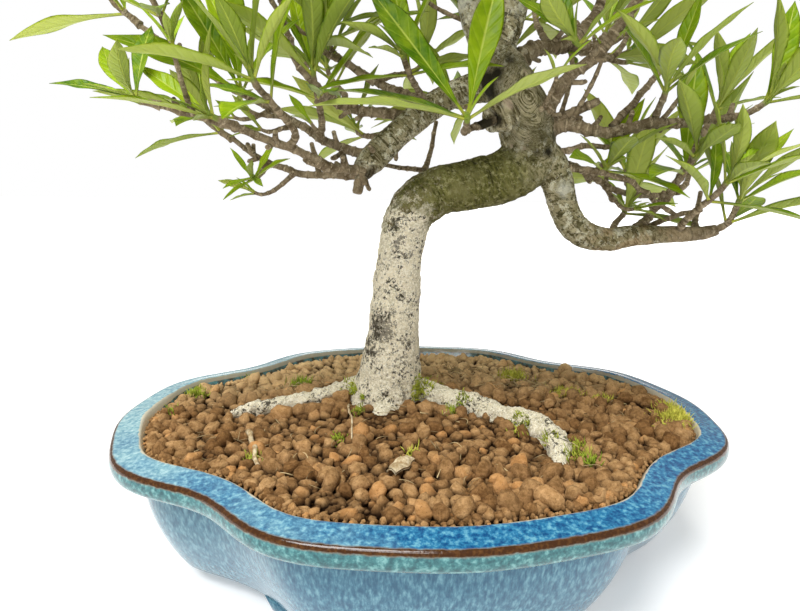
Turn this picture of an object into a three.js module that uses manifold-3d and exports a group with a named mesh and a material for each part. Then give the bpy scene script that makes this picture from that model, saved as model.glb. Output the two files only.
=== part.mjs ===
// Gardenia bonsai in a glazed four-lobed pot.
// Millimetres, +Z up, the ground at z = 0, the origin under the middle of the pot.
// +X is to the right of someone who stands in front of the pot, +Y away from them.

import * as THREE from 'three';
import { mergeVertices } from 'three/addons/utils/BufferGeometryUtils.js';
import Module from 'manifold-3d';

const wasm = await Module();
wasm.setup();

// Driving dimensions of the pot
const potHalfLength = 150;
const potHalfDepth = 126.4;
const rimHeight = 66;
const rimWidth = 13;
const lipHeight = 9.5;
const footHeight = 8;
const footRadius = 12;
const footPlaces = [[-62, -56], [62, -56], [62, 56], [-62, 56]];
const floorThickness = 7;
const drainRadius = 8;
const drainPlaces = [[-45, 0], [45, 0]];
const ringSides = 48;

// Driving dimensions of the planting
const clearance = 0.3;
const trunkBase = [-16, 9];
const soilAtWall = 62.5;
const moundHeight = 11;
const moundSpread = 58;
const grainPitch = 10;
const grainRise = 2.6;

// Driving dimensions of the foliage
const bladeThickness = 1.3;
const bladeFold = 0.28;
const leafLength = 50;
const leafSlenderness = 4.3;
const bladeBend = 0.16;
const bladeStations = [0.38, 0.7];
const stemRadius = { base: 2.2, tip: 1.6 };
const stemSides = 6;
const budLength = 3;
const whorlPlaces = [[0, 2.6], [2.6, 5.2], [13, 15.6]];
const leafDroop = -0.08;
const leafTries = 8;
const touchVolume = 0.01;

const up = new THREE.Vector3(0, 0, 1);

const materials = {
  glaze: new THREE.MeshStandardMaterial({ color: 0x4f8cb4, roughness: 0.2, metalness: 0 }),
  akadama: new THREE.MeshStandardMaterial({ color: 0x8a5a3a, roughness: 1, metalness: 0 }),
  bark: new THREE.MeshStandardMaterial({ color: 0xa89f80, roughness: 0.9, metalness: 0 }),
  leaf: new THREE.MeshStandardMaterial({ color: 0x5f9a2c, roughness: 0.4, metalness: 0 }),
};

// A repeatable draw from 0 to 1 for a whole number.
function draw(number) {
  const value = Math.sin(number * 12.9898 + 4.1414) * 43758.5453;
  return value - Math.floor(value);
}

function geometryFrom(points, faces) {
  const geometry = new THREE.BufferGeometry();
  geometry.setAttribute('position', new THREE.Float32BufferAttribute(points.flat(), 3));
  geometry.setIndex(faces.flat());
  return geometry;
}

// Closed solid from a three.js geometry, with its shared vertices merged.
function solidFrom(geometry) {
  const bare = geometry.clone();
  bare.deleteAttribute('normal');
  bare.deleteAttribute('uv');
  const merged = mergeVertices(bare, 1e-5);
  return new wasm.Manifold(new wasm.Mesh({
    numProp: 3,
    vertProperties: Float32Array.from(merged.attributes.position.array),
    triVerts: Uint32Array.from(merged.index.array),
  }));
}

function namedMesh(name, solid, material) {
  const { vertProperties, triVerts } = solid.getMesh();
  const geometry = new THREE.BufferGeometry();
  geometry.setAttribute('position', new THREE.BufferAttribute(vertProperties, 3));
  geometry.setIndex(new THREE.BufferAttribute(triVerts, 1));
  geometry.computeVertexNormals();
  const mesh = new THREE.Mesh(geometry, material);
  mesh.name = name;
  return mesh;
}

// Skin over a stack of rings with the same number of points, closed by a fan at both ends.
// The rings run anticlockwise when seen from the side that the stack grows towards.
function stackedSolid(rings) {
  const sides = rings[0].length;
  const points = rings.flat();
  const faces = [];
  for (let ring = 0; ring + 1 < rings.length; ring += 1) {
    for (let side = 0; side < sides; side += 1) {
      const next = (side + 1) % sides;
      const [a, b] = [ring * sides + side, ring * sides + next];
      faces.push([a, b, b + sides], [a, b + sides, a + sides]);
    }
  }
  for (const [ring, turned] of [[0, true], [rings.length - 1, false]]) {
    const middle = points.length;
    const count = rings[ring].length;
    points.push([0, 1, 2].map((axis) => rings[ring].reduce((sum, p) => sum + p[axis], 0) / count));
    for (let side = 0; side < sides; side += 1) {
      const [a, b] = [ring * sides + side, ring * sides + (side + 1) % sides];
      faces.push(turned ? [b, a, middle] : [a, b, middle]);
    }
  }
  return solidFrom(geometryFrom(points, faces));
}

// The pot's outline: an ellipse pressed in at four corners, offset inwards by an inset.
function outlinePoint(angle) {
  const lobes = 1 + 0.034 * Math.cos(4 * angle) - 0.0224 * Math.cos(8 * angle)
    + 0.01 * Math.cos(12 * angle);
  const scale = lobes / 1.0216;
  return [potHalfLength * scale * Math.cos(angle), potHalfDepth * scale * Math.sin(angle)];
}

function potRing(inset, height) {
  const ring = [];
  for (let side = 0; side < ringSides; side += 1) {
    const angle = (2 * Math.PI * side) / ringSides;
    const [x, y] = outlinePoint(angle);
    const [xAhead, yAhead] = outlinePoint(angle + 0.01);
    const [xBehind, yBehind] = outlinePoint(angle - 0.01);
    const length = Math.hypot(xAhead - xBehind, yAhead - yBehind);
    const [alongX, alongY] = [(xAhead - xBehind) / length, (yAhead - yBehind) / length];
    ring.push([x - alongY * inset, y + alongX * inset, height]);
  }
  return ring;
}

// The bowl flares from its foot line to just under the lip.
const bodyTop = rimHeight - lipHeight;
const bodyInset = (share) => 12.5 + 16.5 * share ** 2;
const bodyRings = [1, 0.62, 0.28, 0].map((share) => (
  potRing(bodyInset(share), bodyTop - share * (bodyTop - footHeight))));
const lipRings = [
  potRing(1.8, bodyTop),
  potRing(0, bodyTop + 2.5),
  potRing(0.3, rimHeight - 1.6),
  potRing(2, rimHeight),
  potRing(rimWidth, rimHeight + 1.5),
];
const wallProfile = [[15, 64], [19, 54], [25.5, 30], [37, footHeight + floorThickness]];
const wallRings = wallProfile.map(([inset, height]) => potRing(inset, height));

function cylinderSolid(radiusTop, radiusBottom, height, sides, place) {
  const geometry = new THREE.CylinderGeometry(radiusTop, radiusBottom, height, sides);
  geometry.rotateX(Math.PI / 2).translate(...place);
  return solidFrom(geometry);
}

function pot() {
  let shell = stackedSolid([...bodyRings, ...lipRings, ...wallRings]);
  for (const [x, y] of footPlaces) {
    const foot = [x, y, footHeight / 2 + 1];
    shell = shell.add(cylinderSolid(footRadius + 3, footRadius, footHeight + 2, 10, foot));
  }
  for (const [x, y] of drainPlaces) {
    shell = shell.subtract(cylinderSolid(drainRadius, drainRadius, 40, 12, [x, y, 5]));
  }
  return shell;
}

// Woody routes. Each is a smooth curve through [x, y, z, radius] points.
const woodSides = { trunk: 12, limb: 5, root: 6 };
const wood = {
  trunk: [[-17, 9, 50, 17], [-17, 9, 66, 21], [-16, 9, 78, 17.5], [-15, 9, 95, 14.2],
    [-13, 9, 122, 12], [-11, 9, 147, 11.4], [-6, 9, 167, 11.8], [8, 8, 177, 12.2],
    [23, 7, 180, 12.3], [39, 6, 184, 12.8], [51, 5, 194, 13.4], [50, 5, 207, 13.8],
    [45, 6, 220, 13.6], [37, 8, 234, 11.8], [31, 10, 247, 9.4]],
  leaderLeft: [[33, 10, 240, 9], [25, 12, 257, 7.4], [19, 15, 278, 6], [10, 18, 300, 4.8],
    [4, 18, 322, 3.6]],
  leaderRight: [[33, 9, 242, 9], [39, 8, 256, 7.4], [43, 4, 280, 6], [45, 0, 303, 4.6],
    [42, -4, 328, 3.4]],
  shoulder: [[42, 8, 236, 7], [57, 12, 247, 5], [71, 16, 249, 4.6], [84, 21, 259, 4.2],
    [95, 27, 282, 3]],
  frontRight: [[48, 2, 206, 6], [56, -3, 216, 4.6], [66, -9, 231, 4], [78, -15, 242, 3.8],
    [88, -22, 261, 3.4], [94, -28, 280, 2.8]],
  level: [[53, 4, 205, 7], [66, -1, 209, 5.4], [82, -8, 206, 4.6], [103, -14, 209, 4.2],
    [127, -18, 211, 3.4], [141, -21, 213, 2.8]],
  cascade: [[52, 6, 199, 10], [62, 5, 192, 9], [67, 3, 181, 7.6], [70, 2, 170, 7],
    [77, 0, 159, 7], [90, -2, 154, 6.2], [104, -4, 156, 5.6], [120, -6, 157, 4.6],
    [138, -9, 158, 3.4], [146, -10, 160, 2.8]],
  cascadeArm: [[104, -4, 156, 4.4], [115, 0, 166, 3.4], [127, 4, 177, 3.2],
    [137, 8, 192, 3], [146, 11, 207, 2.4]],
  thinArm: [[60, 5, 192, 4], [73, 5, 191, 2.8], [90, 10, 184, 2.6], [109, 16, 177, 2.6],
    [130, 20, 176, 2.4], [144, 23, 180, 2.2]],
  leftLimb: [[36, 14, 229, 8], [18, 24, 226, 7], [3, 26, 217, 6.8], [-13, 22, 204, 6.6],
    [-26, 17, 191, 6.8], [-31, 15, 185, 5]],
  upperLeft: [[-24, 18, 192, 4.8], [-45, 20, 199, 3.8], [-59, 22, 207, 3.5],
    [-89, 28, 223, 3.1], [-124, 35, 244, 2.6], [-140, 39, 256, 2.3]],
  lowerLeft: [[-26, 15, 187, 4.8], [-42, 8, 187, 3.7], [-65, -2, 196, 3.4],
    [-94, -13, 205, 2.9], [-118, -21, 211, 2.3]],
  underLeft: [[-28, 16, 185, 4], [-47, 18, 184, 3.1], [-62, 23, 185, 2.8],
    [-80, 29, 191, 2.4], [-97, 35, 202, 2]],
  innerLeft: [[0, 26, 214, 5], [-22, 30, 216, 4.4], [-35, 32, 218, 4.3], [-47, 34, 223, 4],
    [-60, 37, 237, 3.2], [-68, 40, 256, 2.8], [-70, 44, 272, 2.3]],
  backLeft: [[8, 26, 220, 5], [-8, 50, 229, 3.8], [-25, 62, 239, 2.8], [-38, 70, 248, 2.2]],
  back: [[45, 12, 222, 6], [49, 34, 232, 4.2], [53, 56, 241, 3.2], [56, 70, 250, 2.4]],
  backRight: [[70, 16, 249, 4], [86, 38, 252, 3.4], [104, 62, 257, 2.8], [114, 78, 264, 2.2]],
  crownLeft: [[20, 14, 274, 5], [-6, 10, 288, 4.2], [-40, 2, 302, 3.4], [-72, -6, 314, 2.4]],
  crownBack: [[11, 18, 298, 4], [4, 44, 311, 3.2], [-4, 74, 322, 2.4]],
  crownFront: [[43, 3, 282, 5], [38, -24, 289, 3.8], [33, -56, 297, 2.4]],
  crownRight: [[45, 0, 302, 4], [70, 7, 314, 3.4], [98, 12, 325, 2.4]],
  crownFrontLeft: [[18, 13, 280, 4.6], [2, -18, 286, 3.6], [-20, -52, 293, 2.4]],
  brokenStub: [[58, 3, 208, 5], [70, -2, 215, 3.4], [80, -6, 220, 2.8]],
  hollowStub: [[46, 4, 214, 11], [33, 0, 211, 8.6], [22, -3, 207, 7.4]],
  kneeStub: [[-30, 15, 187, 3], [-32, 13, 180, 2.8], [-33, 12, 175, 2.6]],
  rootLeft: [[-18, 10, 72, 11], [-31, 15, 72, 7.4], [-41, 17, 70, 5.6], [-62, 7, 67, 4.6],
    [-84, 7, 63, 3.4], [-98, 8, 58, 2]],
  rootRight: [[-14, 8, 72, 11], [0, 6, 72, 8], [14, 1, 70, 7], [31, -8, 68.5, 6.4],
    [49, -22, 66.5, 6], [59, -37, 64, 5.8], [57, -52, 62, 5], [49, -67, 58, 3.4]],
  rootFront: [[-17, 6, 70, 11], [-20, -6, 68, 7], [-25, -20, 61, 3.4]],
  rootBack: [[-14, 12, 70, 11], [-7, 28, 66, 6.6], [3, 48, 60, 4.6], [12, 64, 52, 3]],
};
const curveSteps = { trunk: 20, cascade: 11, rootRight: 9, rootLeft: 7 };

function routeOf(name) {
  const points = wood[name].map(([x, y, z]) => new THREE.Vector3(x, y, z));
  return new THREE.CatmullRomCurve3(points, false, 'centripetal');
}

function radiusAlong(name, share) {
  const place = share * (wood[name].length - 1);
  const index = Math.min(Math.floor(place), wood[name].length - 2);
  const [before, after] = [wood[name][index][3], wood[name][index + 1][3]];
  return before + (after - before) * (place - index);
}

// Rings of a tapering tube at given shares of a curve: they turn with the curve, untwisted.
function sweptRings(curve, radiusAt, shares, sides) {
  const rings = [];
  const frames = [];
  let across = null;
  for (const share of shares) {
    const centre = curve.getPoint(share);
    const along = curve.getTangent(share);
    across = across ? across.clone() : new THREE.Vector3(0, -1, 0);
    across.addScaledVector(along, -across.dot(along)).normalize();
    const front = new THREE.Vector3().crossVectors(along, across);
    const radius = radiusAt(share);
    const ring = [];
    for (let corner = 0; corner < sides; corner += 1) {
      const angle = (2 * Math.PI * corner) / sides;
      const point = centre.clone().addScaledVector(across, radius * Math.cos(angle));
      ring.push(point.addScaledVector(front, radius * Math.sin(angle)).toArray());
    }
    rings.push(ring);
    frames.push({ centre, along, across, front });
  }
  return { rings, frames };
}

// Every woody route joined in one body, grown by an allowance where room is needed round it.
function woodSolid(names, allowance) {
  let body = null;
  for (const name of names) {
    const sides = woodSides[name] ?? (name.startsWith('root') ? woodSides.root : woodSides.limb);
    const steps = curveSteps[name] ?? Math.max(3, wood[name].length - 1);
    const shares = Array.from({ length: steps + 1 }, (unused, step) => step / steps);
    const radiusAt = (share) => radiusAlong(name, share) + allowance;
    const tube = stackedSolid(sweptRings(routeOf(name), radiusAt, shares, sides).rings);
    body = body ? body.add(tube) : tube;
  }
  return body;
}

// Height of the soil before its grains: level at the wall, a mound round the trunk.
function soilHeight(x, y) {
  const wall = soilAtWall - (3 * y) / 110 - 1.2 * Math.max(0, -x / 140);
  const away = Math.hypot(x - trunkBase[0], y - trunkBase[1]);
  return wall + moundHeight * Math.exp(-((away / moundSpread) ** 2));
}

// Block whose top is a field of angular grains: on a triangular lattice every third point
// is the crest of a grain and the points round it are the gaps between grains.
function grainBlock() {
  const columns = Math.ceil((2 * potHalfLength) / grainPitch) + 2;
  const rows = Math.ceil((2 * potHalfDepth) / (grainPitch * 0.866)) + 2;
  const points = [];
  const faces = [];
  const bottom = footHeight + floorThickness - 5;
  for (let row = 0; row < rows; row += 1) {
    for (let column = 0; column < columns; column += 1) {
      const number = row * columns + column;
      const crest = (column + (row % 2 ? 2 : 0) + 3 * rows) % 3 === 0;
      const x = -potHalfLength - grainPitch + (column + (row % 2) / 2) * grainPitch
        + (draw(number) - 0.5) * grainPitch * 0.5;
      const y = -potHalfDepth - grainPitch + row * grainPitch * 0.866
        + (draw(number + 5000) - 0.5) * grainPitch * 0.5;
      const rise = crest ? grainRise * (0.6 + 0.6 * draw(number + 9000)) : -0.6;
      points.push([x, y, soilHeight(x, y) + rise]);
    }
  }
  const rim = [];
  for (let column = 0; column < columns; column += 1) rim.push(column);
  for (let row = 1; row < rows; row += 1) rim.push(row * columns + columns - 1);
  for (let column = columns - 2; column >= 0; column -= 1) rim.push((rows - 1) * columns + column);
  for (let row = rows - 2; row > 0; row -= 1) rim.push(row * columns);
  for (let row = 0; row + 1 < rows; row += 1) {
    for (let column = 0; column + 1 < columns; column += 1) {
      const a = row * columns + column;
      const [b, c, d] = [a + 1, a + columns, a + columns + 1];
      if (row % 2) faces.push([a, b, d], [a, d, c]);
      else faces.push([a, b, c], [b, d, c]);
    }
  }
  const lower = rim.map((index) => {
    points.push([points[index][0], points[index][1], bottom]);
    return points.length - 1;
  });
  const middle = points.push([0, 0, bottom]) - 1;
  rim.forEach((index, place) => {
    const next = (place + 1) % rim.length;
    faces.push([rim[next], index, lower[place]], [rim[next], lower[place], lower[next]]);
    faces.push([lower[next], lower[place], middle]);
  });
  return solidFrom(geometryFrom(points, faces));
}

function soil() {
  const rings = wallProfile.map(([inset, height]) => potRing(inset + clearance, height));
  const floor = potRing(wallProfile.at(-1)[0] + clearance, footHeight + floorThickness + clearance);
  const cavity = stackedSolid([floor, ...rings.slice(0, -1).reverse(),
    potRing(wallProfile[0][0] - 1 + clearance, 90)]);
  const sockets = Object.keys(wood).filter((name) => name === 'trunk' || name.startsWith('root'));
  return cavity.intersect(grainBlock()).subtract(woodSolid(sockets, clearance));
}

// The leafy stems: the route each grows from, how far along it, and the place of its tip.
// Where leaves are listed, they are the tips of the leaves of one rosette, chosen by hand.
const sprays = [
  { from: 'hollowStub', share: 1, tip: [11, -35, 209],
    leaves: [[-53, -55, 218], [-46, -14, 229], [-26, -16, 270], [27, -12, 277], [49, -55, 233]] },
  { from: 'upperLeft', share: 0.6, tip: [-88, 18, 223],
    leaves: [[-89, -8, 279], [-142, 2, 249], [-114, 20, 275], [-66, -14, 252]] },
  { from: 'lowerLeft', share: 1, tip: [-127, -26, 214],
    leaves: [[-148, 0, 242], [-128, -2, 250], [-161, -18, 224], [-124, -58, 232]] },
  { from: 'lowerLeft', share: 0.7, tip: [-97, -24, 208],
    leaves: [[-133, -48, 217], [-96, -42, 240], [-104, -60, 205], [-126, -14, 232]] },
  { from: 'underLeft', share: 0.7, tip: [-84, 12, 182],
    leaves: [[-68, -4, 193], [-97, 2, 174], [-84, -6, 192], [-75, 10, 199]] },
  { from: 'frontRight', share: 0.55, tip: [61, -22, 243],
    leaves: [[34, -50, 260], [70, -54, 264], [52, 4, 282], [88, -36, 262], [38, -12, 266]] },
  { from: 'upperLeft', share: 1, tip: [-155, 40, 272] },
  { from: 'upperLeft', share: 0.8, tip: [-128, 14, 268] },
  { from: 'upperLeft', share: 0.3, tip: [-54, -2, 232] },
  { from: 'innerLeft', share: 1, tip: [-72, 44, 290] },
  { from: 'innerLeft', share: 0.66, tip: [-46, 14, 256] },
  { from: 'innerLeft', share: 0.4, tip: [-48, 62, 244] },
  { from: 'underLeft', share: 1, tip: [-112, 42, 214] },
  { from: 'lowerLeft', share: 0.5, tip: [-78, -34, 224] },
  { from: 'leftLimb', share: 0.62, tip: [-32, 62, 212] },
  { from: 'leftLimb', share: 0.4, tip: [-14, -6, 240] },
  { from: 'level', share: 1, tip: [152, -30, 222] },
  { from: 'level', share: 0.62, tip: [104, -26, 226] },
  { from: 'thinArm', share: 0.34, tip: [88, -6, 190] },
  { from: 'thinArm', share: 1, tip: [153, 30, 192] },
  { from: 'thinArm', share: 0.66, tip: [122, 44, 192] },
  { from: 'cascade', share: 0.62, tip: [109, 12, 170] },
  { from: 'cascade', share: 1, tip: [155, -14, 178] },
  { from: 'cascade', share: 0.82, tip: [134, -34, 186] },
  { from: 'cascadeArm', share: 1, tip: [152, 8, 224] },
  { from: 'cascadeArm', share: 0.5, tip: [124, -22, 198] },
  { from: 'frontRight', share: 1, tip: [98, -38, 294] },
  { from: 'shoulder', share: 1, tip: [102, 26, 300] },
  { from: 'shoulder', share: 0.34, tip: [62, 42, 276] },
  { from: 'backRight', share: 1, tip: [124, 87, 276] },
  { from: 'backRight', share: 0.5, tip: [122, 46, 250] },
  { from: 'back', share: 1, tip: [58, 77, 271] },
  { from: 'back', share: 0.5, tip: [26, 72, 226] },
  { from: 'backLeft', share: 1, tip: [-50, 80, 266] },
  { from: 'backLeft', share: 0.55, tip: [10, 84, 252] },
  { from: 'leaderLeft', share: 1, tip: [-4, 22, 346] },
  { from: 'leaderLeft', share: 0.62, tip: [-30, 34, 322] },
  { from: 'leaderRight', share: 1, tip: [44, -10, 350] },
  { from: 'leaderRight', share: 0.75, tip: [66, -30, 326] },
  { from: 'crownLeft', share: 1, tip: [-92, -14, 328] },
  { from: 'crownLeft', share: 0.5, tip: [-42, -34, 318] },
  { from: 'crownLeft', share: 0.72, tip: [-72, 44, 330] },
  { from: 'crownBack', share: 1, tip: [-14, 90, 334] },
  { from: 'crownBack', share: 0.5, tip: [32, 60, 330] },
  { from: 'crownFront', share: 1, tip: [26, -78, 308] },
  { from: 'crownFront', share: 0.55, tip: [66, -60, 296] },
  { from: 'crownRight', share: 1, tip: [116, 10, 338] },
  { from: 'crownRight', share: 0.5, tip: [86, 40, 344] },
  { from: 'crownFrontLeft', share: 1, tip: [-34, -74, 304] },
  { from: 'crownFrontLeft', share: 0.5, tip: [10, -48, 310] },
];

// A stem leaves the bark square to it, just clear of it, and turns upwards to its tip.
function stemCurve({ from, share, tip }) {
  const route = routeOf(from);
  const axis = route.getPoint(share);
  const along = route.getTangent(share);
  const end = new THREE.Vector3(...tip);
  const away = end.clone().sub(axis);
  const out = along.clone();
  let distance = clearance;
  if (share < 1) {
    out.copy(away).addScaledVector(along, -away.dot(along)).normalize();
    distance += radiusAlong(from, share);
  }
  const start = axis.addScaledVector(out, distance);
  const length = start.distanceTo(end);
  const climb = end.clone().sub(start).normalize().addScaledVector(up, 0.7).normalize();
  return new THREE.CubicBezierCurve3(
    start,
    start.clone().addScaledVector(out, 0.3 * length),
    end.clone().addScaledVector(climb, -0.35 * length),
    end,
  );
}

// Rings of a stem: six-sided, with close pairs of rings where its whorls of leaves grow.
function stemRings(curve, distances) {
  const length = curve.v0.distanceTo(curve.v3);
  const shares = distances.map((distance) => Math.max(0, 1 - distance / length));
  const radiusAt = (share) => stemRadius.tip + (stemRadius.base - stemRadius.tip) * (1 - share);
  return sweptRings(curve, radiusAt, shares, stemSides);
}

// A leaf that grows out of one flat of its stem. Each further try turns it, opens it and
// shortens it.
function whorledLeaf({ centre, along, across, front }, flat, seed, size, attempt) {
  const wander = attempt * 0.09 * (attempt % 2 ? 1 : -1);
  const turn = ((flat + 0.5) * 2 * Math.PI) / stemSides + 0.5 * (draw(seed) - 0.5) + wander;
  const spread = 0.42 + size * 0.5 + 0.3 * (draw(seed + 1) - 0.5) + 0.1 * (attempt % 4);
  const ahead = along.clone().multiplyScalar(Math.cos(spread));
  ahead.addScaledVector(across, Math.sin(spread) * Math.cos(turn));
  ahead.addScaledVector(front, Math.sin(spread) * Math.sin(turn));
  ahead.z = Math.max(ahead.z, leafDroop);
  ahead.normalize();
  const length = leafLength * (0.72 + 0.28 * size + 0.3 * draw(seed + 2)) * (1 - 0.06 * attempt);
  return { start: centre, along, ahead, length };
}

// A leaf of a hand-chosen rosette runs from the stem's end to the given point.
function chosenLeaf({ centre, along }, point) {
  const ahead = new THREE.Vector3(...point).sub(centre);
  return { start: centre, along, length: ahead.length(), ahead: ahead.normalize() };
}

// Kite sections of a blade: a midrib that bends back, thick under the rib, sharp at the edges.
// Swelling grows the blade all round.
const leafOutline = (share) => Math.sin(Math.PI * share ** 1.35) ** 1.1;

function bladeRings({ start, ahead, length, along }, shares, swelling = 0) {
  const face = along.clone().multiplyScalar(0.7).addScaledVector(up, 0.7);
  face.addScaledVector(ahead, -face.dot(ahead)).normalize();
  const side = new THREE.Vector3().crossVectors(ahead, face);
  const centre = (share) => start.clone().addScaledVector(ahead, length * share)
    .addScaledVector(face, -bladeBend * length * share ** 2);
  const rings = shares.map((share) => {
    const half = Math.max(1, (length / leafSlenderness / 2) * leafOutline(share)) + swelling;
    const middle = centre(share).addScaledVector(face, swelling);
    const below = middle.clone().addScaledVector(face, -bladeThickness - 2 * swelling);
    const edges = [-half, half].map((reach) => middle.clone().addScaledVector(side, reach)
      .addScaledVector(face, bladeFold * half - swelling));
    return [edges[0], middle, edges[1], below].map((point) => point.toArray());
  });
  return { rings, end: centre(1 + swelling / length).toArray() };
}

// Skin from one four-cornered ring over the next ones to the leaf's point.
function bladeFaces(firstRing, laterRings, end) {
  const faces = [];
  const rings = [firstRing, ...laterRings];
  rings.forEach((ring, index) => {
    for (let corner = 0; corner < 4; corner += 1) {
      const next = (corner + 1) % 4;
      if (index + 1 === rings.length) faces.push([ring[corner], ring[next], end]);
      else {
        const later = rings[index + 1];
        faces.push([ring[corner], ring[next], later[next]], [ring[corner], later[next], later[corner]]);
      }
    }
  });
  return faces;
}

function bladeSolid(leaf, swelling = 0, from = 0) {
  const { rings, end } = bladeRings(leaf, [from, ...bladeStations], swelling);
  const numbers = rings.map((ring, index) => ring.map((point, corner) => index * 4 + corner));
  const faces = bladeFaces(numbers[0], numbers.slice(1), rings.length * 4);
  faces.push([0, 2, 1], [0, 3, 2]);
  return solidFrom(geometryFrom([...rings.flat(), end], faces));
}

// What already stands in the crown, each with its box, so that new leaves keep clear of it.
const standing = [];

function stand(solid, owner) {
  const { min, max } = solid.boundingBox();
  standing.push({ solid, owner, min, max });
}

function meets(solid, others) {
  const { min, max } = solid.boundingBox();
  return others.some((other) => (
    [0, 1, 2].every((axis) => min[axis] <= other.max[axis] && other.min[axis] <= max[axis])
    && solid.intersect(other.solid).volume() > touchVolume));
}

const isClear = (leaf, body, owner) => !meets(bladeSolid(leaf, 0.5, 0.22), standing)
  && !meets(bladeSolid(leaf, 0.4), standing.filter((other) => other.owner !== owner))
  && !meets(body, standing.filter((other) => other.owner === owner));

// Skin of a leaf from its foot, a four-cornered patch of the stem, to its point. The foot is
// turned so that the skin twists least on its way to the first section of the blade.
function leafSkin(leaf, foot) {
  const { rings, end } = bladeRings(leaf, bladeStations);
  const reach = (turn) => foot.reduce((sum, point, corner) => (
    sum + Math.hypot(...point.map((value, axis) => value - rings[0][(corner + turn) % 4][axis]))), 0);
  const turns = [0, 1, 2, 3].sort((first, second) => reach(first) - reach(second));
  const turn = turns[0];
  const turned = rings.map((ring) => ring.map((point, corner) => ring[(corner + turn) % 4]));
  return { rings: turned, end };
}

function leafBody({ rings, end }, foot) {
  const numbers = [0, 1, 2].map((ring) => [0, 1, 2, 3].map((corner) => ring * 4 + corner));
  const faces = bladeFaces(numbers[0], numbers.slice(1), 12);
  faces.push([0, 2, 1], [0, 3, 2]);
  return solidFrom(geometryFrom([...foot, ...rings.flat(), end], faces));
}

// Stem with every second flat of each whorl drawn out into a leaf, all in one skin.
function whorledSolid(stem) {
  const { frames, rings } = stem;
  const last = frames.at(-1);
  const bud = last.centre.clone().addScaledVector(last.along, budLength).toArray();
  const points = [...rings.flat(), bud];
  const faces = [];
  for (let corner = 1; corner + 1 < stemSides; corner += 1) faces.push([0, corner + 1, corner]);
  for (let band = 0; band + 1 < rings.length; band += 1) {
    const whorl = stem.whorls.indexOf(band);
    for (let flat = 0; flat < stemSides; flat += 1) {
      const next = (flat + 1) % stemSides;
      const [a, b] = [band * stemSides + flat, band * stemSides + next];
      const foot = [a, b, b + stemSides, a + stemSides];
      const grows = whorl >= 0 && (flat + whorl) % 2 === 0;
      const skin = grows && growLeaf(stem, band, whorl, flat, foot.map((index) => points[index]));
      if (skin) {
        const numbers = skin.rings.map((ring) => ring.map((point) => points.push(point) - 1));
        faces.push(...bladeFaces(foot, numbers, points.push(skin.end) - 1));
      } else faces.push([a, b, b + stemSides], [a, b + stemSides, a + stemSides]);
    }
  }
  const top = (rings.length - 1) * stemSides;
  for (let flat = 0; flat < stemSides; flat += 1) {
    faces.push([top + flat, top + ((flat + 1) % stemSides), rings.length * stemSides]);
  }
  return solidFrom(geometryFrom(points, faces));
}

// The first try that keeps clear of the rest of the crown, or nothing where none does.
function growLeaf(stem, band, whorl, flat, foot) {
  const [below, above] = [stem.frames[band], stem.frames[band + 1]];
  const middle = { ...above, centre: below.centre.clone().lerp(above.centre, 0.5) };
  const seed = stem.index * 60 + whorl * 18 + flat * 3;
  for (let attempt = 0; attempt < leafTries; attempt += 1) {
    const leaf = whorledLeaf(middle, flat, seed, whorl / 2, attempt);
    const skin = leafSkin(leaf, foot);
    const body = leafBody(skin, foot);
    if (isClear(leaf, body, stem.owner)) {
      stand(body, stem.owner);
      return skin;
    }
  }
  return null;
}

// A hand-chosen rosette: its leaves are joined to the end of the stem.
function chosenSolid(stem) {
  let body = stackedSolid(stem.rings);
  for (const point of stem.spray.leaves) {
    const leaf = chosenLeaf(stem.frames.at(-2), point);
    stand(bladeSolid(leaf), stem.owner);
    body = body.add(bladeSolid(leaf));
  }
  return body;
}

function leafyStems() {
  const stems = sprays.map((spray, index) => {
    const curve = stemCurve(spray);
    const length = curve.v0.distanceTo(curve.v3);
    const lowest = length > whorlPlaces[2][1] + 4 ? 3 : 2;
    const places = whorlPlaces.slice(0, spray.leaves ? 1 : lowest).reverse();
    const distances = [length, ...(length > 44 ? [length * 0.62] : []), ...places.flat().reverse()];
    const ordered = [...new Set(distances)].sort((a, b) => b - a);
    const { rings, frames } = stemRings(curve, ordered);
    const whorls = places.map(([near]) => ordered.indexOf(near) - 1).reverse();
    const owner = `${index}`;
    stand(stackedSolid(rings), owner);
    return { spray, index, owner, rings, frames, whorls };
  });
  return stems.map((stem) => (stem.spray.leaves ? chosenSolid(stem) : whorledSolid(stem)));
}

const group = new THREE.Group();
const bark = woodSolid(Object.keys(wood), 0);
stand(bark, 'wood');
group.add(namedMesh('pot', pot(), materials.glaze));
group.add(namedMesh('soil', soil(), materials.akadama));
group.add(namedMesh('trunk', bark, materials.bark));
leafyStems().forEach((body, index) => {
  group.add(namedMesh(`spray_${String(index + 1).padStart(2, '0')}`, body, materials.leaf));
});

export default group;
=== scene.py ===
"""Gardenia bonsai in a glazed four-lobed pot, dressed over its CAD frame."""

import math

import bpy
import numpy as np
from mathutils import Euler, Matrix, Vector


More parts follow.
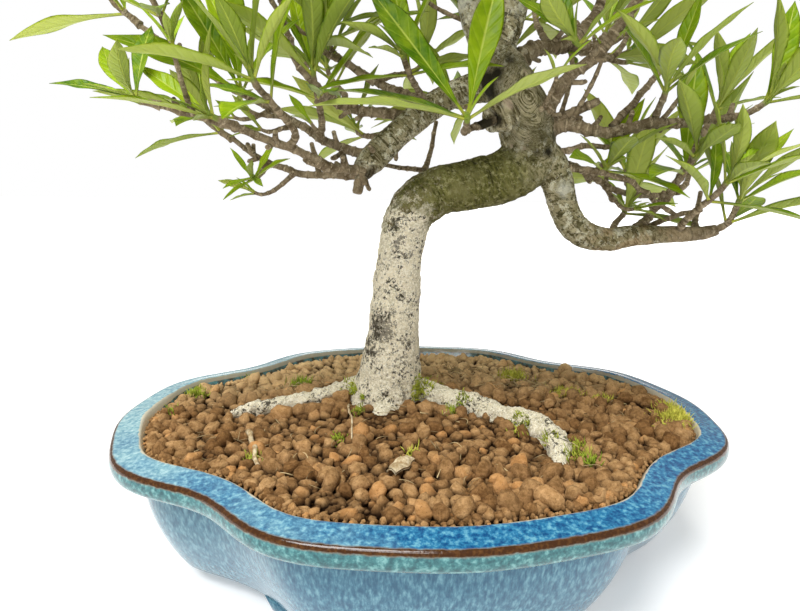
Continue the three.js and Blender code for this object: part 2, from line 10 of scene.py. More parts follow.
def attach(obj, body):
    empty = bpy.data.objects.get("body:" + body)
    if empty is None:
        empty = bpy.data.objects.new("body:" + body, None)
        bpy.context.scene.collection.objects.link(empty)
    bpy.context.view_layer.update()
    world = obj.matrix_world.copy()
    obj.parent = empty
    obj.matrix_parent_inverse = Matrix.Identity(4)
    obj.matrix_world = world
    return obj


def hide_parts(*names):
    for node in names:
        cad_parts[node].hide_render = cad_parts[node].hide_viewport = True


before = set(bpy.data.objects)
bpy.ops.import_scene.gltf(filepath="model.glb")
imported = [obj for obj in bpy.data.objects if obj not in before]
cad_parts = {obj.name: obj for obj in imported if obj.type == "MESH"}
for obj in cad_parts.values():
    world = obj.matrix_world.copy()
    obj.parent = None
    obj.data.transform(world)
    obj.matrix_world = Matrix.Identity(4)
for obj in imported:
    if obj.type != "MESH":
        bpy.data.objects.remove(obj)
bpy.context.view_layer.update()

# The photographer's table, light and camera: a plain white sweep under broad soft light from
# the left and above, and a camera 11 cm above the pot's rim, 30 cm in front of its middle.
LOOK_DOWN, LOOK_RIGHT, ROLL = 11.283, 6.849, 0.8548
CAMERA_PLACE = (-0.04759, -0.29577, 0.17993)
camera_data = bpy.data.cameras.new("camera")
camera_data.lens = 27.36
camera_data.sensor_width = 36.0
camera_data.clip_start = 0.01
camera = bpy.data.objects.new("camera", camera_data)
bpy.context.collection.objects.link(camera)
aim = Euler((math.radians(90 - LOOK_DOWN), 0.0, math.radians(-LOOK_RIGHT))).to_matrix()
camera.matrix_world = Matrix.Translation(CAMERA_PLACE) @ (
    aim @ Matrix.Rotation(math.radians(ROLL), 3, "Z")).to_4x4()
bpy.context.scene.camera = camera
bpy.context.scene.view_settings.view_transform = "Standard"


def lamp(kind, name, power, place, target, **shape):
    """A lamp of a kind at a place, in metres, that faces the target."""
    data = bpy.data.lights.new(name, kind)
    data.energy = power
    for setting, value in shape.items():
        setattr(data, setting, value)
    made = bpy.data.objects.new(name, data)
    bpy.context.collection.objects.link(made)
    made.location = place
    made.rotation_euler = (Vector(place) - Vector(target)).to_track_quat("Z", "Y").to_euler()


lamp("SUN", "window", 4.1, (-0.34, -0.36, 1.0), (0, 0, 0), angle=math.radians(34))
lamp("AREA", "lip_highlight", 4, (-0.25, -1.1, 0.9), (0, -0.1, 0.06), size=0.35)

# The room is white to the eye, and lends the object less than half as much light as the window.
world = bpy.data.worlds.new("white_room")
world.use_nodes = True
room = world.node_tree
dim = room.nodes["Background"]
dim.inputs["Color"].default_value = (1.0, 0.985, 0.95, 1.0)
dim.inputs["Strength"].default_value = 0.46
bright = room.nodes.new("ShaderNodeBackground")
bright.inputs["Color"].default_value = (1.0, 1.0, 1.0, 1.0)
ray = room.nodes.new("ShaderNodeLightPath")
either = room.nodes.new("ShaderNodeMixShader")
room.links.new(ray.outputs["Is Camera Ray"], either.inputs["Fac"])
room.links.new(dim.outputs[0], either.inputs[1])
room.links.new(bright.outputs[0], either.inputs[2])
room.links.new(either.outputs[0], room.nodes["World Output"].inputs["Surface"])
bpy.context.scene.world = world


class Signal:
    """A number or a colour that a material works out at each point: an output of a node."""

    def __init__(self, finish, socket):
        self.finish, self.socket = finish, socket

    def __add__(self, other):
        return self.finish.reckon("ADD", self, other)

    def __sub__(self, other):
        return self.finish.reckon("SUBTRACT", self, other)

    def __rsub__(self, other):
        return self.finish.reckon("SUBTRACT", other, self)

    def __mul__(self, other):
        return self.finish.reckon("MULTIPLY", self, other)

    def __abs__(self):
        return self.finish.reckon("ABSOLUTE", self)

    def ramp(self, low, high, start=0.0, end=1.0):
        """The signal carried from low..high to start..end, held at both ends."""
        made = self.finish.node("ShaderNodeMapRange")
        for name, given in zip(("Value", "From Min", "From Max", "To Min", "To Max"),
                               (self, low, high, start, end)):
            self.finish.feed(made.inputs[name], given)
        return Signal(self.finish, made.outputs["Result"])

    def mix(self, first, second):
        """The colour that goes from the first to the second as the signal goes from 0 to 1."""
        made = self.finish.node("ShaderNodeMix", data_type="RGBA")
        self.finish.feed(made.inputs["Factor"], self)
        sockets = {each.name: each for each in made.inputs if each.type == "RGBA"}
        self.finish.feed(sockets["A"], first)
        self.finish.feed(sockets["B"], second)
        return Signal(self.finish, [each for each in made.outputs if each.type == "RGBA"][0])


class Finish:
    """A material and the few calls that wire its nodes."""

    def __init__(self, name, **shader):
        self.material = bpy.data.materials.new(name)
        self.material.use_nodes = True
        self.tree = self.material.node_tree
        self.shader = self.tree.nodes["Principled BSDF"]
        for socket, value in shader.items():
            self.shader.inputs[socket.replace("_", " ")].default_value = value
        self.place = Signal(self, self.node("ShaderNodeTexCoord").outputs["Object"])

    def node(self, kind, **settings):
        """A new node of a kind, with its settings."""
        made = self.tree.nodes.new(kind)
        for name, value in settings.items():
            setattr(made, name, value)
        return made

    def feed(self, socket, value):
        """Links a signal to a socket, or sets the socket's own number or colour."""
        if isinstance(value, Signal):
            self.tree.links.new(value.socket, socket)
        else:
            socket.default_value = (*value, 1.0) if isinstance(value, tuple) else value

    def reckon(self, kind, first, second=0.0):
        """The result of a kind of sum on one or two signals or numbers."""
        made = self.node("ShaderNodeMath", operation=kind)
        self.feed(made.inputs[0], first)
        self.feed(made.inputs[1], second)
        return Signal(self, made.outputs["Value"])

    def attribute(self, name):
        """The number that the mesh keeps at each point under a name."""
        return Signal(self, self.node("ShaderNodeAttribute", attribute_name=name).outputs["Fac"])

    def axes(self):
        """The place's x, y and z, in metres."""
        apart = self.node("ShaderNodeSeparateXYZ")
        self.feed(apart.inputs[0], self.place)
        return [Signal(self, socket) for socket in apart.outputs]

    def noise(self, grain, detail=3.0, rough=0.55, place=None, stretch=(1, 1, 1)):
        """Noise whose patches are about one grain wide, in millimetres."""
        mapping = self.node("ShaderNodeMapping")
        self.feed(mapping.inputs["Vector"], place or self.place)
        mapping.inputs["Scale"].default_value = stretch
        made = self.node("ShaderNodeTexNoise")
        self.tree.links.new(mapping.outputs["Vector"], made.inputs["Vector"])
        for name, value in (("Scale", 1000.0 / grain), ("Detail", detail), ("Roughness", rough)):
            made.inputs[name].default_value = value
        return Signal(self, made.outputs["Fac"])

    def wrinkles(self, along, step, reach):
        """Noise that changes with every step along a limb and every reach round it."""
        x, y, z = self.axes()
        joined = self.node("ShaderNodeCombineXYZ")
        self.feed(joined.inputs["X"], along * (1 / step))
        self.feed(joined.inputs["Y"], (x + z) * (1000 / reach))
        self.feed(joined.inputs["Z"], y * (1000 / reach))
        return self.noise(1000, place=Signal(self, joined.outputs["Vector"]))

    def finish(self, colour, height=None, depth=0.0003, strength=1.0, roughness=None):
        """Sets the colour and, where they are given, the bump's height and the roughness."""
        self.feed(self.shader.inputs["Base Color"], colour)
        if roughness is not None:
            self.feed(self.shader.inputs["Roughness"], roughness)
        if height is not None:
            bump = self.node("ShaderNodeBump")
            bump.inputs["Distance"].default_value = depth
            bump.inputs["Strength"].default_value = strength
            self.feed(bump.inputs["Height"], height)
            self.tree.links.new(bump.outputs["Normal"], self.shader.inputs["Normal"])


def new_piece(name, points, faces, material, values=None, node=None):
    """Mesh object from points in millimetres, blocks of faces and numbers for each point, on the
    root body and the node that it replaces."""
    blocks = [np.asarray(block, dtype=np.int64) for block in faces if len(block)]
    corners = np.concatenate([block.ravel() for block in blocks])
    sizes = np.concatenate([np.full(len(block), block.shape[1]) for block in blocks])
    mesh = bpy.data.meshes.new(name)
    mesh.vertices.add(len(points))
    mesh.vertices.foreach_set("co", (np.asarray(points) * 0.001).astype(np.float32).ravel())
    mesh.loops.add(len(corners))
    mesh.loops.foreach_set("vertex_index", corners.astype(np.int32))
    mesh.polygons.add(len(sizes))
    mesh.polygons.foreach_set("loop_start", np.concatenate([[0], np.cumsum(sizes)[:-1]]))
    mesh.polygons.foreach_set("use_smooth", np.ones(len(sizes), dtype=bool))
    mesh.update(calc_edges=True)
    mesh.validate()
    for key, numbers in (values or {}).items():
        held = mesh.attributes.new(key, "FLOAT", "POINT")
        held.data.foreach_set("value", np.asarray(numbers, dtype=np.float32))
    mesh.materials.append(material)
    piece = bpy.data.objects.new(name, mesh)
    bpy.context.collection.objects.link(piece)
    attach(piece, "root")
    if node:
        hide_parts(node)
    return piece


# The table under the pot: a plain white sweep, lit a little from within so that it stays white.
floor_mesh = bpy.data.meshes.new("floor")
floor_mesh.from_pydata([(-6, -6, 0), (6, -6, 0), (6, 6, 0), (-6, 6, 0)], [], [(0, 1, 2, 3)])
floor = bpy.data.objects.new("floor", floor_mesh)
bpy.context.collection.objects.link(floor)
white = Finish("white_table", Roughness=0.9, Specular_IOR_Level=0.1, Emission_Strength=0.30,
               Emission_Color=(1.0, 1.0, 1.0, 1.0))
white.finish((0.86, 0.86, 0.86))
floor_mesh.materials.append(white.material)

# The pot: a slab-built bowl with four pressed corners, a rolled lip and four short feet,
# fired under a thick blue glaze that runs thin and breaks brown along the lip's edge.
POT_HALF = (150.0, 126.4)
POT_SIDES = 288
LIP_UNDER, FLOOR_UNDER = 56.5, 8


def pot_outline(angle):
    """Ellipse with lobes: the radii times 1 + 0.034 cos 4a - 0.0224 cos 8a + 0.01 cos 12a, over
    that sum where the angle a is 0."""
    lobes = (1 + 0.034 * np.cos(4 * angle) - 0.0224 * np.cos(8 * angle)
             + 0.01 * np.cos(12 * angle)) / 1.0216
    return np.stack([POT_HALF[0] * lobes * np.cos(angle), POT_HALF[1] * lobes * np.sin(angle)], -1)


def pot_ring(inset, height, sides=POT_SIDES):
    """The outline moved inwards along its normal by an inset, at a height."""
    angle = np.arange(sides) * 2 * np.pi / sides
    along = pot_outline(angle + 0.01) - pot_outline(angle - 0.01)
    along /= np.linalg.norm(along, axis=1, keepdims=True)
    flat = pot_outline(angle) + np.stack([-along[:, 1], along[:, 0]], -1) * inset
    return np.column_stack([flat, np.full(sides, height) if np.isscalar(height) else height])


def stacked(rings):
    """Points and faces of a skin over rings of equal count, closed by a fan at both ends."""
    count = len(rings[0])
    points = np.concatenate([*rings, rings[0].mean(0)[None], rings[-1].mean(0)[None]])
    here = np.arange(count)
    onward = (here + 1) % count
    bands = [np.column_stack([here, onward, onward + count, here + count]) + level * count
             for level in range(len(rings) - 1)]
    last = (len(rings) - 1) * count
    ends = [np.column_stack([onward, here, np.full(count, last + count)]),
            np.column_stack([here + last, onward + last, np.full(count, last + count + 1)])]
    return points, [np.concatenate(bands), np.concatenate(ends)]


WALL_IN, WALL_TAPER, WALL_FOOT = 12.5, 16.5, 1.2
shares = np.array([1, 0.985, 0.94, 0.86, 0.76, 0.66, 0.55, 0.44, 0.33, 0.22, 0.12, 0.05, 0])
wall = [(WALL_IN + WALL_TAPER * share ** 2 + (WALL_FOOT if share == 1 else 0),
         LIP_UNDER - share * (LIP_UNDER - FLOOR_UNDER)) for share in shares]
lip = [(12.1, 56.9), (9.0, 57.0), (4.6, 56.7), (2.6, 56.9), (1.3, 57.7), (0.5, 59.2),
       (0.15, 61.0), (0.1, 62.6), (0.35, 63.9), (0.6, 64.5), (0.75, 65.0), (1.3, 65.6),
       (2.3, 65.95), (4.0, 66.05), (6.5, 66.35), (9.2, 66.9), (11.3, 67.35), (12.4, 67.45),
       (13.1, 67.2), (13.6, 66.4)]
LIP_CORNER = (0.75, 65.0)
inside = [(14.3, 65.2), (15.4, 63.0), (17.0, 59.0), (19.2, 54.0), (22.4, 42.0), (25.8, 30.0),
          (31.0, 20.0), (36.8, 15.1)]
profile = [*wall, *lip, *inside]
pot_points, pot_faces = stacked([pot_ring(inset, height) for inset, height in profile])
angle = np.tile(np.arange(POT_SIDES) * 2 * np.pi / POT_SIDES, len(profile))

glaze = Finish("blue_glaze", Roughness=0.15, Specular_IOR_Level=0.34, Coat_Weight=0.15,
               Coat_Roughness=0.05)
grit = glaze.noise(1.25, 2, 0.5)
scales = glaze.noise(2.1, 3, 0.6)
streaks = glaze.noise(1.5, 3, 0.6, stretch=(1, 1, 0.30))
pale_side = glaze.attribute("pale") + glaze.noise(26, 4).ramp(0.35, 0.65, -0.17, 0.17)


def speckled(pattern, dark, middle, light):
    """Dark glaze that passes to a middle and then to a light colour as the pattern rises."""
    return pattern.ramp(0.53, 0.70).mix(pattern.ramp(0.36, 0.54).mix(dark, middle), light)


rim = pale_side.ramp(0.2, 0.8).mix(
    speckled(scales, (0.004, 0.052, 0.16), (0.022, 0.158, 0.3), (0.13, 0.345, 0.45)),
    speckled(scales, (0.12, 0.275, 0.345), (0.245, 0.415, 0.455), (0.41, 0.565, 0.575)))
band = speckled(scales, (0.014, 0.075, 0.088), (0.042, 0.165, 0.175), (0.16, 0.345, 0.34))
bowl = pale_side.ramp(0.3, 0.9).mix(
    speckled(streaks, (0.014, 0.082, 0.15), (0.048, 0.157, 0.228), (0.138, 0.3, 0.368)),
    speckled(streaks, (0.03, 0.112, 0.155), (0.072, 0.182, 0.23), (0.175, 0.32, 0.36)))
down = glaze.attribute("down")
wavy = down + glaze.noise(9, 4, 0.65).ramp(0.3, 0.7, -0.7, 0.7)
coloured = wavy.ramp(0.2, 0.7).mix(rim, band)
coloured = down.ramp(8.4, 9.4).mix(coloured, bowl)

# A brown line where the glaze breaks over the lip's corner, and a pale one under the lip.
ragged = down + glaze.noise(3.4, 3, 0.6).ramp(0.3, 0.7, -0.25, 0.25)
off_line = abs(ragged + 0.25)
brown = grit.ramp(0.45, 0.75).mix((0.04, 0.013, 0.002), (0.095, 0.038, 0.008))
coloured = off_line.ramp(1.25, 1.90, 0.75, 0.0).mix(coloured, (0.16, 0.115, 0.075))
coloured = off_line.ramp(1.05, 1.35, 1.0, 0.0).mix(coloured, brown)
coloured = abs(ragged - 9.2).ramp(0.2, 0.9, 0.6, 0.0).mix(coloured, (0.40, 0.50, 0.50))

# Stains down the inner wall, and a limy crust along the rim's inner edge that is narrow and
# brown at the back and wide where the glaze is pale.
stain = glaze.noise(4, 4, 0.7).ramp(0.4, 0.62).mix((0.05, 0.04, 0.022), (0.07, 0.185, 0.2))
coloured = down.ramp(-15.2, -14.4, 1.0, 0.0).mix(coloured, stain)
crust = abs(ragged + 14.4) + glaze.noise(7, 4, 0.65).ramp(0.36, 0.64, -0.35, 0.35)
behind = glaze.axes()[1].ramp(-0.01, 0.05)
crust = crust - pale_side.ramp(0.6, 1.1, 0.0, 0.7) + behind * down.ramp(-13.8, -15.4, 0.5, 2.2)
limy = behind.mix((0.60, 0.52, 0.37), (0.3, 0.25, 0.165))
coloured = crust.ramp(1.9, 2.4, 0.85, 0.0).mix(coloured, limy)
glaze.finish(coloured, scales * 0.6 + glaze.noise(11, 2) * 1.5, 0.0004, 0.45)

# How far down the glaze has run from the lip's corner, in millimetres: less than nothing on
# the rim's top and inside.
steps = np.linalg.norm(np.diff(np.array(profile), axis=0), axis=1)
run = -np.append(0, np.cumsum(steps))
down_profile = run - run[profile.index(LIP_CORNER)]
pale = 0.45 - 0.36 * np.cos(angle) + 0.32 * np.sin(angle)
new_piece("glazed_pot", pot_points, pot_faces, glaze.material, {
    "down": np.append(np.repeat(down_profile, POT_SIDES), [60, -60]),
    "pale": np.append(pale, [0, 0])}, "pot")

# Four short feet with a softened lower edge, of the same fired clay and under the same glaze,
# stuck to the bowl's underside before it is fired.
FOOT_SIDES = 48
turn = np.arange(FOOT_SIDES) * 2 * np.pi / FOOT_SIDES
circle = np.column_stack([np.cos(turn), np.sin(turn)])
for number, place in enumerate([(-62, -56), (62, -56), (62, 56), (-62, 56)], 1):
    points, faces = stacked([np.column_stack([circle * radius + place, np.full(FOOT_SIDES, height)])
                             for radius, height in ((12 - 0.8, 0), (12, 0.8), (15.2, 9.4))])
    new_piece(f"pot_foot_{number}", points, faces, glaze.material,
              {"down": np.full(len(points), 60.0), "pale": np.full(len(points), 0.3)})

# The bed: dark fine crumbs, rubbed off the akadama grains above them, that fill the pot up to just
# below its rim, with a low mound round the trunk. Its near-black colour is partly the crumbs' own
# and partly painted shade in the gaps between the grains.
TRUNK_BASE = (-16.0, 9.0)
SOIL_LEVEL, MOUND, MOUND_REACH = 62.5, 11, 58


def soil_height(x, y):
    """The level, 3 mm lower for each 110 to the back and 1.2 at the left end, and on it a mound
    round the trunk: its height times exp(-(distance / reach)^2)."""
    level = SOIL_LEVEL - 3 * y / 110 - 1.2 * np.maximum(0, -x / 140)
    away = np.hypot(x - TRUNK_BASE[0], y - TRUNK_BASE[1])
    return level + MOUND * np.exp(-(away / MOUND_REACH) ** 2)


def lattice_noise(points, seed=0):
    """Random values from -1 to 1 on whole-number corners, eased across each cell."""
    cell = np.floor(points).astype(np.int64)
    part = points - cell
    ease = part * part * (3 - 2 * part)
    total = np.zeros(len(points))
    for corner in range(8):
        step = np.array([corner & 1, corner >> 1 & 1, corner >> 2 & 1])
        key = (cell + step) @ np.array([73856093, 19349663, 83492791]) + seed * 50331653
        key = ((key ^ (key >> 13)) * 1274126177) & 0xFFFFFFFF
        value = ((key ^ (key >> 16)) & 0xFFFF) / 32767.5 - 1
        total += value * np.prod(np.where(step, ease, 1 - ease), axis=1)
    return total


BED_SIDES, BED_BELOW = 144, 2.5
bed_rings = [pot_ring(inset, height, BED_SIDES) for inset, height in
             ((37.4, 15.4), (31.6, 20.0), (26.2, 30.0), (19.6, 53.0))]
edge_ring = pot_ring(17.4, 58.0, BED_SIDES)[:, :2]
for share in np.linspace(1, 0.02, 34):
    flat = edge_ring * share
    rough = lattice_noise(np.column_stack([flat / 2.4, np.zeros(BED_SIDES)]), 3)
    bed_rings.append(np.column_stack([flat, soil_height(*flat.T) - BED_BELOW + 0.8 * rough]))
bed_points, bed_faces = stacked(bed_rings)
crumbs = Finish("clay_crumbs", Roughness=1.0, Specular_IOR_Level=0.05)
# Near-black to dark brown: the crumbs' own colour with painted shade for the gaps between the grains.
dark = crumbs.noise(1.6, 4, 0.7).ramp(0.35, 0.65).mix((0.024, 0.011, 0.004), (0.125, 0.06, 0.024))
crumbs.finish(dark, crumbs.noise(0.8, 4, 0.7), 0.0006)
new_piece("soil_bed", bed_points, bed_faces, crumbs.material, None, "soil")

# The tree's wood: roots, trunk, limbs and branches grown as one. The bark is cream with grey
# flecks low down, olive and finely wrinkled above the bend, brown and ringed on the twigs.
# Each route is a row of points and radii, in millimetres, from a limb's foot to its end.
WOOD = {
    "trunk": [[-17, 9, 50, 17], [-17, 9, 66, 21], [-16, 9, 78, 17.5], [-15, 9, 95, 14.2],
              [-13, 9, 122, 12], [-11, 9, 147, 11.4], [-6, 9, 167, 11.8], [8, 8, 177, 12.2],
              [23, 7, 180, 12.3], [39, 6, 184, 12.8], [51, 5, 194, 13.4], [50, 5, 207, 13.8],
              [45, 6, 220, 13.6], [37, 8, 234, 11.8], [31, 10, 247, 9.4]],
    "leaderLeft": [[33, 10, 240, 9], [25, 12, 257, 7.4], [19, 15, 278, 6], [10, 18, 300, 4.8],
                   [4, 18, 322, 3.6]],
    "leaderRight": [[33, 9, 242, 9], [39, 8, 256, 7.4], [43, 4, 280, 6], [45, 0, 303, 4.6],
                    [42, -4, 328, 3.4]],
    "shoulder": [[42, 8, 236, 7], [57, 12, 247, 5], [71, 16, 249, 4.6], [84, 21, 259, 4.2],
                 [95, 27, 282, 3]],
    "frontRight": [[48, 2, 206, 6], [56, -3, 216, 4.6], [66, -9, 231, 4], [78, -15, 242, 3.8],
                   [88, -22, 261, 3.4], [94, -28, 280, 2.8]],
    "level": [[53, 4, 205, 7], [66, -1, 209, 5.4], [82, -8, 206, 4.6], [103, -14, 209, 4.2],
              [127, -18, 211, 3.4], [141, -21, 213, 2.8]],
    "cascade": [[52, 6, 199, 10], [62, 5, 192, 9], [67, 3, 181, 7.6], [70, 2, 170, 7],
                [77, 0, 159, 7], [90, -2, 154, 6.2], [104, -4, 156, 5.6], [120, -6, 157, 4.6],
                [138, -9, 158, 3.4], [146, -10, 160, 2.8]],
    "cascadeArm": [[104, -4, 156, 4.4], [115, 0, 166, 3.4], [127, 4, 177, 3.2],
                   [137, 8, 192, 3], [146, 11, 207, 2.4]],
    "thinArm": [[60, 5, 192, 4], [73, 5, 191, 2.8], [90, 10, 184, 2.6], [109, 16, 177, 2.6],
                [130, 20, 176, 2.4], [144, 23, 180, 2.2]],
    "leftLimb": [[36, 14, 229, 8], [18, 24, 226, 7], [3, 26, 217, 6.8], [-13, 22, 204, 6.6],
                 [-26, 17, 191, 6.8], [-31, 15, 185, 5]],
    "upperLeft": [[-24, 18, 192, 4.8], [-45, 20, 199, 3.8], [-59, 22, 207, 3.5],
                  [-89, 28, 223, 3.1], [-124, 35, 244, 2.6], [-140, 39, 256, 2.3]],
    "lowerLeft": [[-26, 15, 187, 4.8], [-42, 8, 187, 3.7], [-65, -2, 196, 3.4],
                  [-94, -13, 205, 2.9], [-118, -21, 211, 2.3]],
    "underLeft": [[-28, 16, 185, 4], [-47, 18, 184, 3.1], [-62, 23, 185, 2.8],
                  [-80, 29, 191, 2.4], [-97, 35, 202, 2]],
    "innerLeft": [[0, 26, 214, 5], [-22, 30, 216, 4.4], [-35, 32, 218, 4.3], [-47, 34, 223, 4],
                  [-60, 37, 237, 3.2], [-68, 40, 256, 2.8], [-70, 44, 272, 2.3]],
    "backLeft": [[8, 26, 220, 5], [-8, 50, 229, 3.8], [-25, 62, 239, 2.8], [-38, 70, 248, 2.2]],
    "back": [[45, 12, 222, 6], [49, 34, 232, 4.2], [53, 56, 241, 3.2], [56, 70, 250, 2.4]],
    "backRight": [[70, 16, 249, 4], [86, 38, 252, 3.4], [104, 62, 257, 2.8], [114, 78, 264, 2.2]],
    "crownLeft": [[20, 14, 274, 5], [-6, 10, 288, 4.2], [-40, 2, 302, 3.4], [-72, -6, 314, 2.4]],
    "crownBack": [[11, 18, 298, 4], [4, 44, 311, 3.2], [-4, 74, 322, 2.4]],
    "crownFront": [[43, 3, 282, 5], [38, -24, 289, 3.8], [33, -56, 297, 2.4]],
    "crownRight": [[45, 0, 302, 4], [70, 7, 314, 3.4], [98, 12, 325, 2.4]],
    "crownFrontLeft": [[18, 13, 280, 4.6], [2, -18, 286, 3.6], [-20, -52, 293, 2.4]],
    "brokenStub": [[58, 3, 208, 5], [70, -2, 215, 3.4], [80, -6, 220, 2.8]],
    "hollowStub": [[46, 4, 214, 11], [33, 0, 211, 8.6], [22, -3, 207, 7.4]],
    "hollowEnd": [[46, 4, 214, 11], [36, 0.5, 213, 8.4], [29, -1.5, 211.5, 6.6]],
    "kneeStub": [[-30, 15, 187, 3], [-32, 13, 180, 2.8], [-33, 12, 175, 2.6]],
    "rootLeft": [[-18, 10, 72, 11], [-31, 15, 72, 7.4], [-41, 17, 70, 5.6], [-62, 7, 68, 5],
                 [-84, 8, 65.5, 4], [-98, 9, 61, 2.6]],
    "rootRight": [[-14, 8, 72, 11], [0, 6, 72, 8], [14, 0, 69.6, 7.2], [31, -10, 67, 6.8],
                  [48, -24, 65.4, 6.6], [56, -39, 63.6, 6.6], [54, -53, 62, 5.6], [48, -67, 58, 3.4]],
    "rootFront": [[-17, 6, 70, 11], [-20, -6, 68, 7], [-25, -20, 61, 3.4]],
    "rootBack": [[-14, 12, 70, 11], [-7, 28, 66, 6.6], [3, 48, 60, 4.6], [12, 64, 52, 3]],
}
# The limbs that are run together in one skin; the others are tubes of their own.
THICK = ["trunk", "cascade", "leftLimb", "hollowEnd", "kneeStub", "leaderLeft", "leaderRight",
         "rootLeft", "rootRight", "rootFront", "rootBack"]


def route(name, share):
    """Smooth curve through a route's points at shares 0 to 1: cubic spans, whose directions at the
    points weigh the chords on both sides by the square roots of their lengths; and the radius,
    which goes straight from point to point."""
    data = np.array(WOOD[name], dtype=float)
    points = data[:, :3]
    padded = np.vstack([2 * points[0] - points[1], points, 2 * points[-1] - points[-2]])
    place = np.atleast_1d(share) * (len(points) - 1)
    index = np.clip(np.floor(place).astype(int), 0, len(points) - 2)
    weight = (place - index)[:, None]
    p0, p1, p2, p3 = (padded[index + step] for step in range(4))
    d0, d1, d2 = (np.linalg.norm(far - near, axis=1)[:, None] ** 0.5
                  for near, far in ((p0, p1), (p1, p2), (p2, p3)))
    leave = ((p1 - p0) / d0 - (p2 - p0) / (d0 + d1) + (p2 - p1) / d1) * d1
    arrive = ((p2 - p1) / d1 - (p3 - p1) / (d1 + d2) + (p3 - p2) / d2) * d1
    curve = (p1 + leave * weight + (3 * (p2 - p1) - 2 * leave - arrive) * weight ** 2
             + (2 * (p1 - p2) + leave + arrive) * weight ** 3)
    radius = data[index, 3] + (data[index + 1, 3] - data[index, 3]) * weight[:, 0]
    return curve, radius


def swept_frames(place, share):
    """Centres along a curve, its direction and two square directions carried without twist."""
    centre = place(share)
    along = place(np.minimum(share + 1e-4, 1)) - place(np.maximum(share - 1e-4, 0))
    along /= np.linalg.norm(along, axis=1, keepdims=True)
    across = np.empty_like(along)
    last = np.array([0.0, -1.0, 0.0])
    for step, direction in enumerate(along):
        last = last - direction * (last @ direction)
        last = last / np.linalg.norm(last)
        across[step] = last
    return centre, along, across, np.cross(along, across)


def swept_rings(frames, radius, sides):
    """Circles of the given radii square to the curve; a radius may vary round its circle."""
    centre, _, across, front = frames
    turn = np.arange(sides) * 2 * np.pi / sides
    radius = np.broadcast_to(np.asarray(radius).reshape(len(centre), -1), (len(centre), sides))
    return (centre[:, None] + (radius * np.cos(turn))[..., None] * across[:, None]
            + (radius * np.sin(turn))[..., None] * front[:, None])


# Rows of place, radius, direction, way travelled, cream and olive along every route but the
# solid's long hollow stub, which the shorter broken end stands for.
CREAM_FROM, CREAM_FADE, OLIVE_FROM, OLIVE_FADE = 96, 48, 172, 20
SAMPLES_PER_POINT = 12
wood_samples = []
for name in WOOD:
    if name == "hollowStub":
        continue
    share = np.linspace(0, 1, SAMPLES_PER_POINT * (len(WOOD[name]) - 1) + 1)
    curve, radius = route(name, share)
    direction = np.gradient(curve, axis=0)
    direction /= np.linalg.norm(direction, axis=1, keepdims=True)
    travel = np.append(0, np.cumsum(np.linalg.norm(np.diff(curve, axis=0), axis=1)))
    cream = np.full(len(share), float(name.startswith("root")))
    olive = np.zeros(len(share))
    if name == "trunk":
        cream = 1 - np.clip((travel - CREAM_FROM) / CREAM_FADE, 0, 1)
        olive = 1 - np.clip((travel - OLIVE_FROM) / OLIVE_FADE, 0, 0.8)
    if name in ("leftLimb", "cascade"):
        olive = np.full(len(share), 0.28) * (1 - share)
    wood_samples.append(np.column_stack([curve, radius, direction, travel, cream, olive]))
wood_samples = np.concatenate(wood_samples)


def nearest_wood(points, samples=wood_samples):
    """For each point the row of the sample for which the distance less the radius is least, and
    that least distance to the bark."""
    best, gap = [], []
    for block in np.array_split(points, max(1, len(points) // 4000)):
        away = np.linalg.norm(block[:, None] - samples[None, :, :3], axis=2) - samples[:, 3]
        best.append(away.argmin(1))
        gap.append(away.min(1))
    return np.concatenate(best), np.concatenate(gap)


def wood_shell(names, cell):
    """The routes' tubes, circles of each route's radius square to its curve, run together into
    one skin of small squares, a cell wide."""
    points, quads, ends, base = [], [], [], 0
    for name in names:
        share = np.linspace(0, 1, max(24, 9 * (len(WOOD[name]) - 1)) + 1)
        radius = route(name, share)[1]
        frames = swept_frames(lambda part, name=name: route(name, part)[0], share)
        made, faces = stacked(list(swept_rings(frames, radius, 24)))
        points.append(made)
        quads.append(faces[0] + base)
        ends.append(faces[1] + base)
        base += len(made)
    mesh = bpy.data.meshes.new("shell")
    mesh.from_pydata((np.concatenate(points) * 0.001).tolist(), [],
                     np.concatenate(quads).tolist() + np.concatenate(ends).tolist())
    holder = bpy.data.objects.new("shell", mesh)
    bpy.context.collection.objects.link(holder)
    remesh = holder.modifiers.new("skin", "REMESH")
    remesh.mode = "VOXEL"
    remesh.voxel_size = cell * 0.001
    ready = holder.evaluated_get(bpy.context.evaluated_depsgraph_get())
    skin = bpy.data.meshes.new_from_object(ready)
    skinned = np.empty(len(skin.vertices) * 3)
    skin.vertices.foreach_get("co", skinned)
    corners = np.empty(len(skin.loops), dtype=np.int32)
    skin.loops.foreach_get("vertex_index", corners)
    bpy.data.objects.remove(holder)
    return skinned.reshape(-1, 3) * 1000, corners.reshape(-1, 4)


def smoothed(points, quads, rounds, share=0.5):
    """Each round moves every point a share of the way to the mean of its neighbours, and every
    second round nearly as far back, so that forks fill and limbs keep their girth."""
    ends = np.concatenate([quads[:, [a, b]] for a, b in ((0, 1), (1, 2), (2, 3), (3, 0))])
    ends = np.concatenate([ends, ends[:, ::-1]])
    count = np.bincount(ends[:, 0], minlength=len(points))[:, None]
    for step in range(rounds):
        total = np.stack([np.bincount(ends[:, 0], points[ends[:, 1], axis], len(points))
                          for axis in range(3)], 1)
        way = share if step % 2 == 0 else -share * 0.94
        points = points + way * (total / count - points)
    return points


def point_normals(points, quads):
    """Mean direction of the faces round each point."""
    a, b, c, d = (points[quads[:, corner]] for corner in range(4))
    face = np.cross(c - a, d - b)
    total = np.stack([np.bincount(quads.ravel(), np.repeat(face[:, axis], 4), len(points))
                      for axis in range(3)], 1)
    return total / (np.linalg.norm(total, axis=1, keepdims=True) + 1e-9)
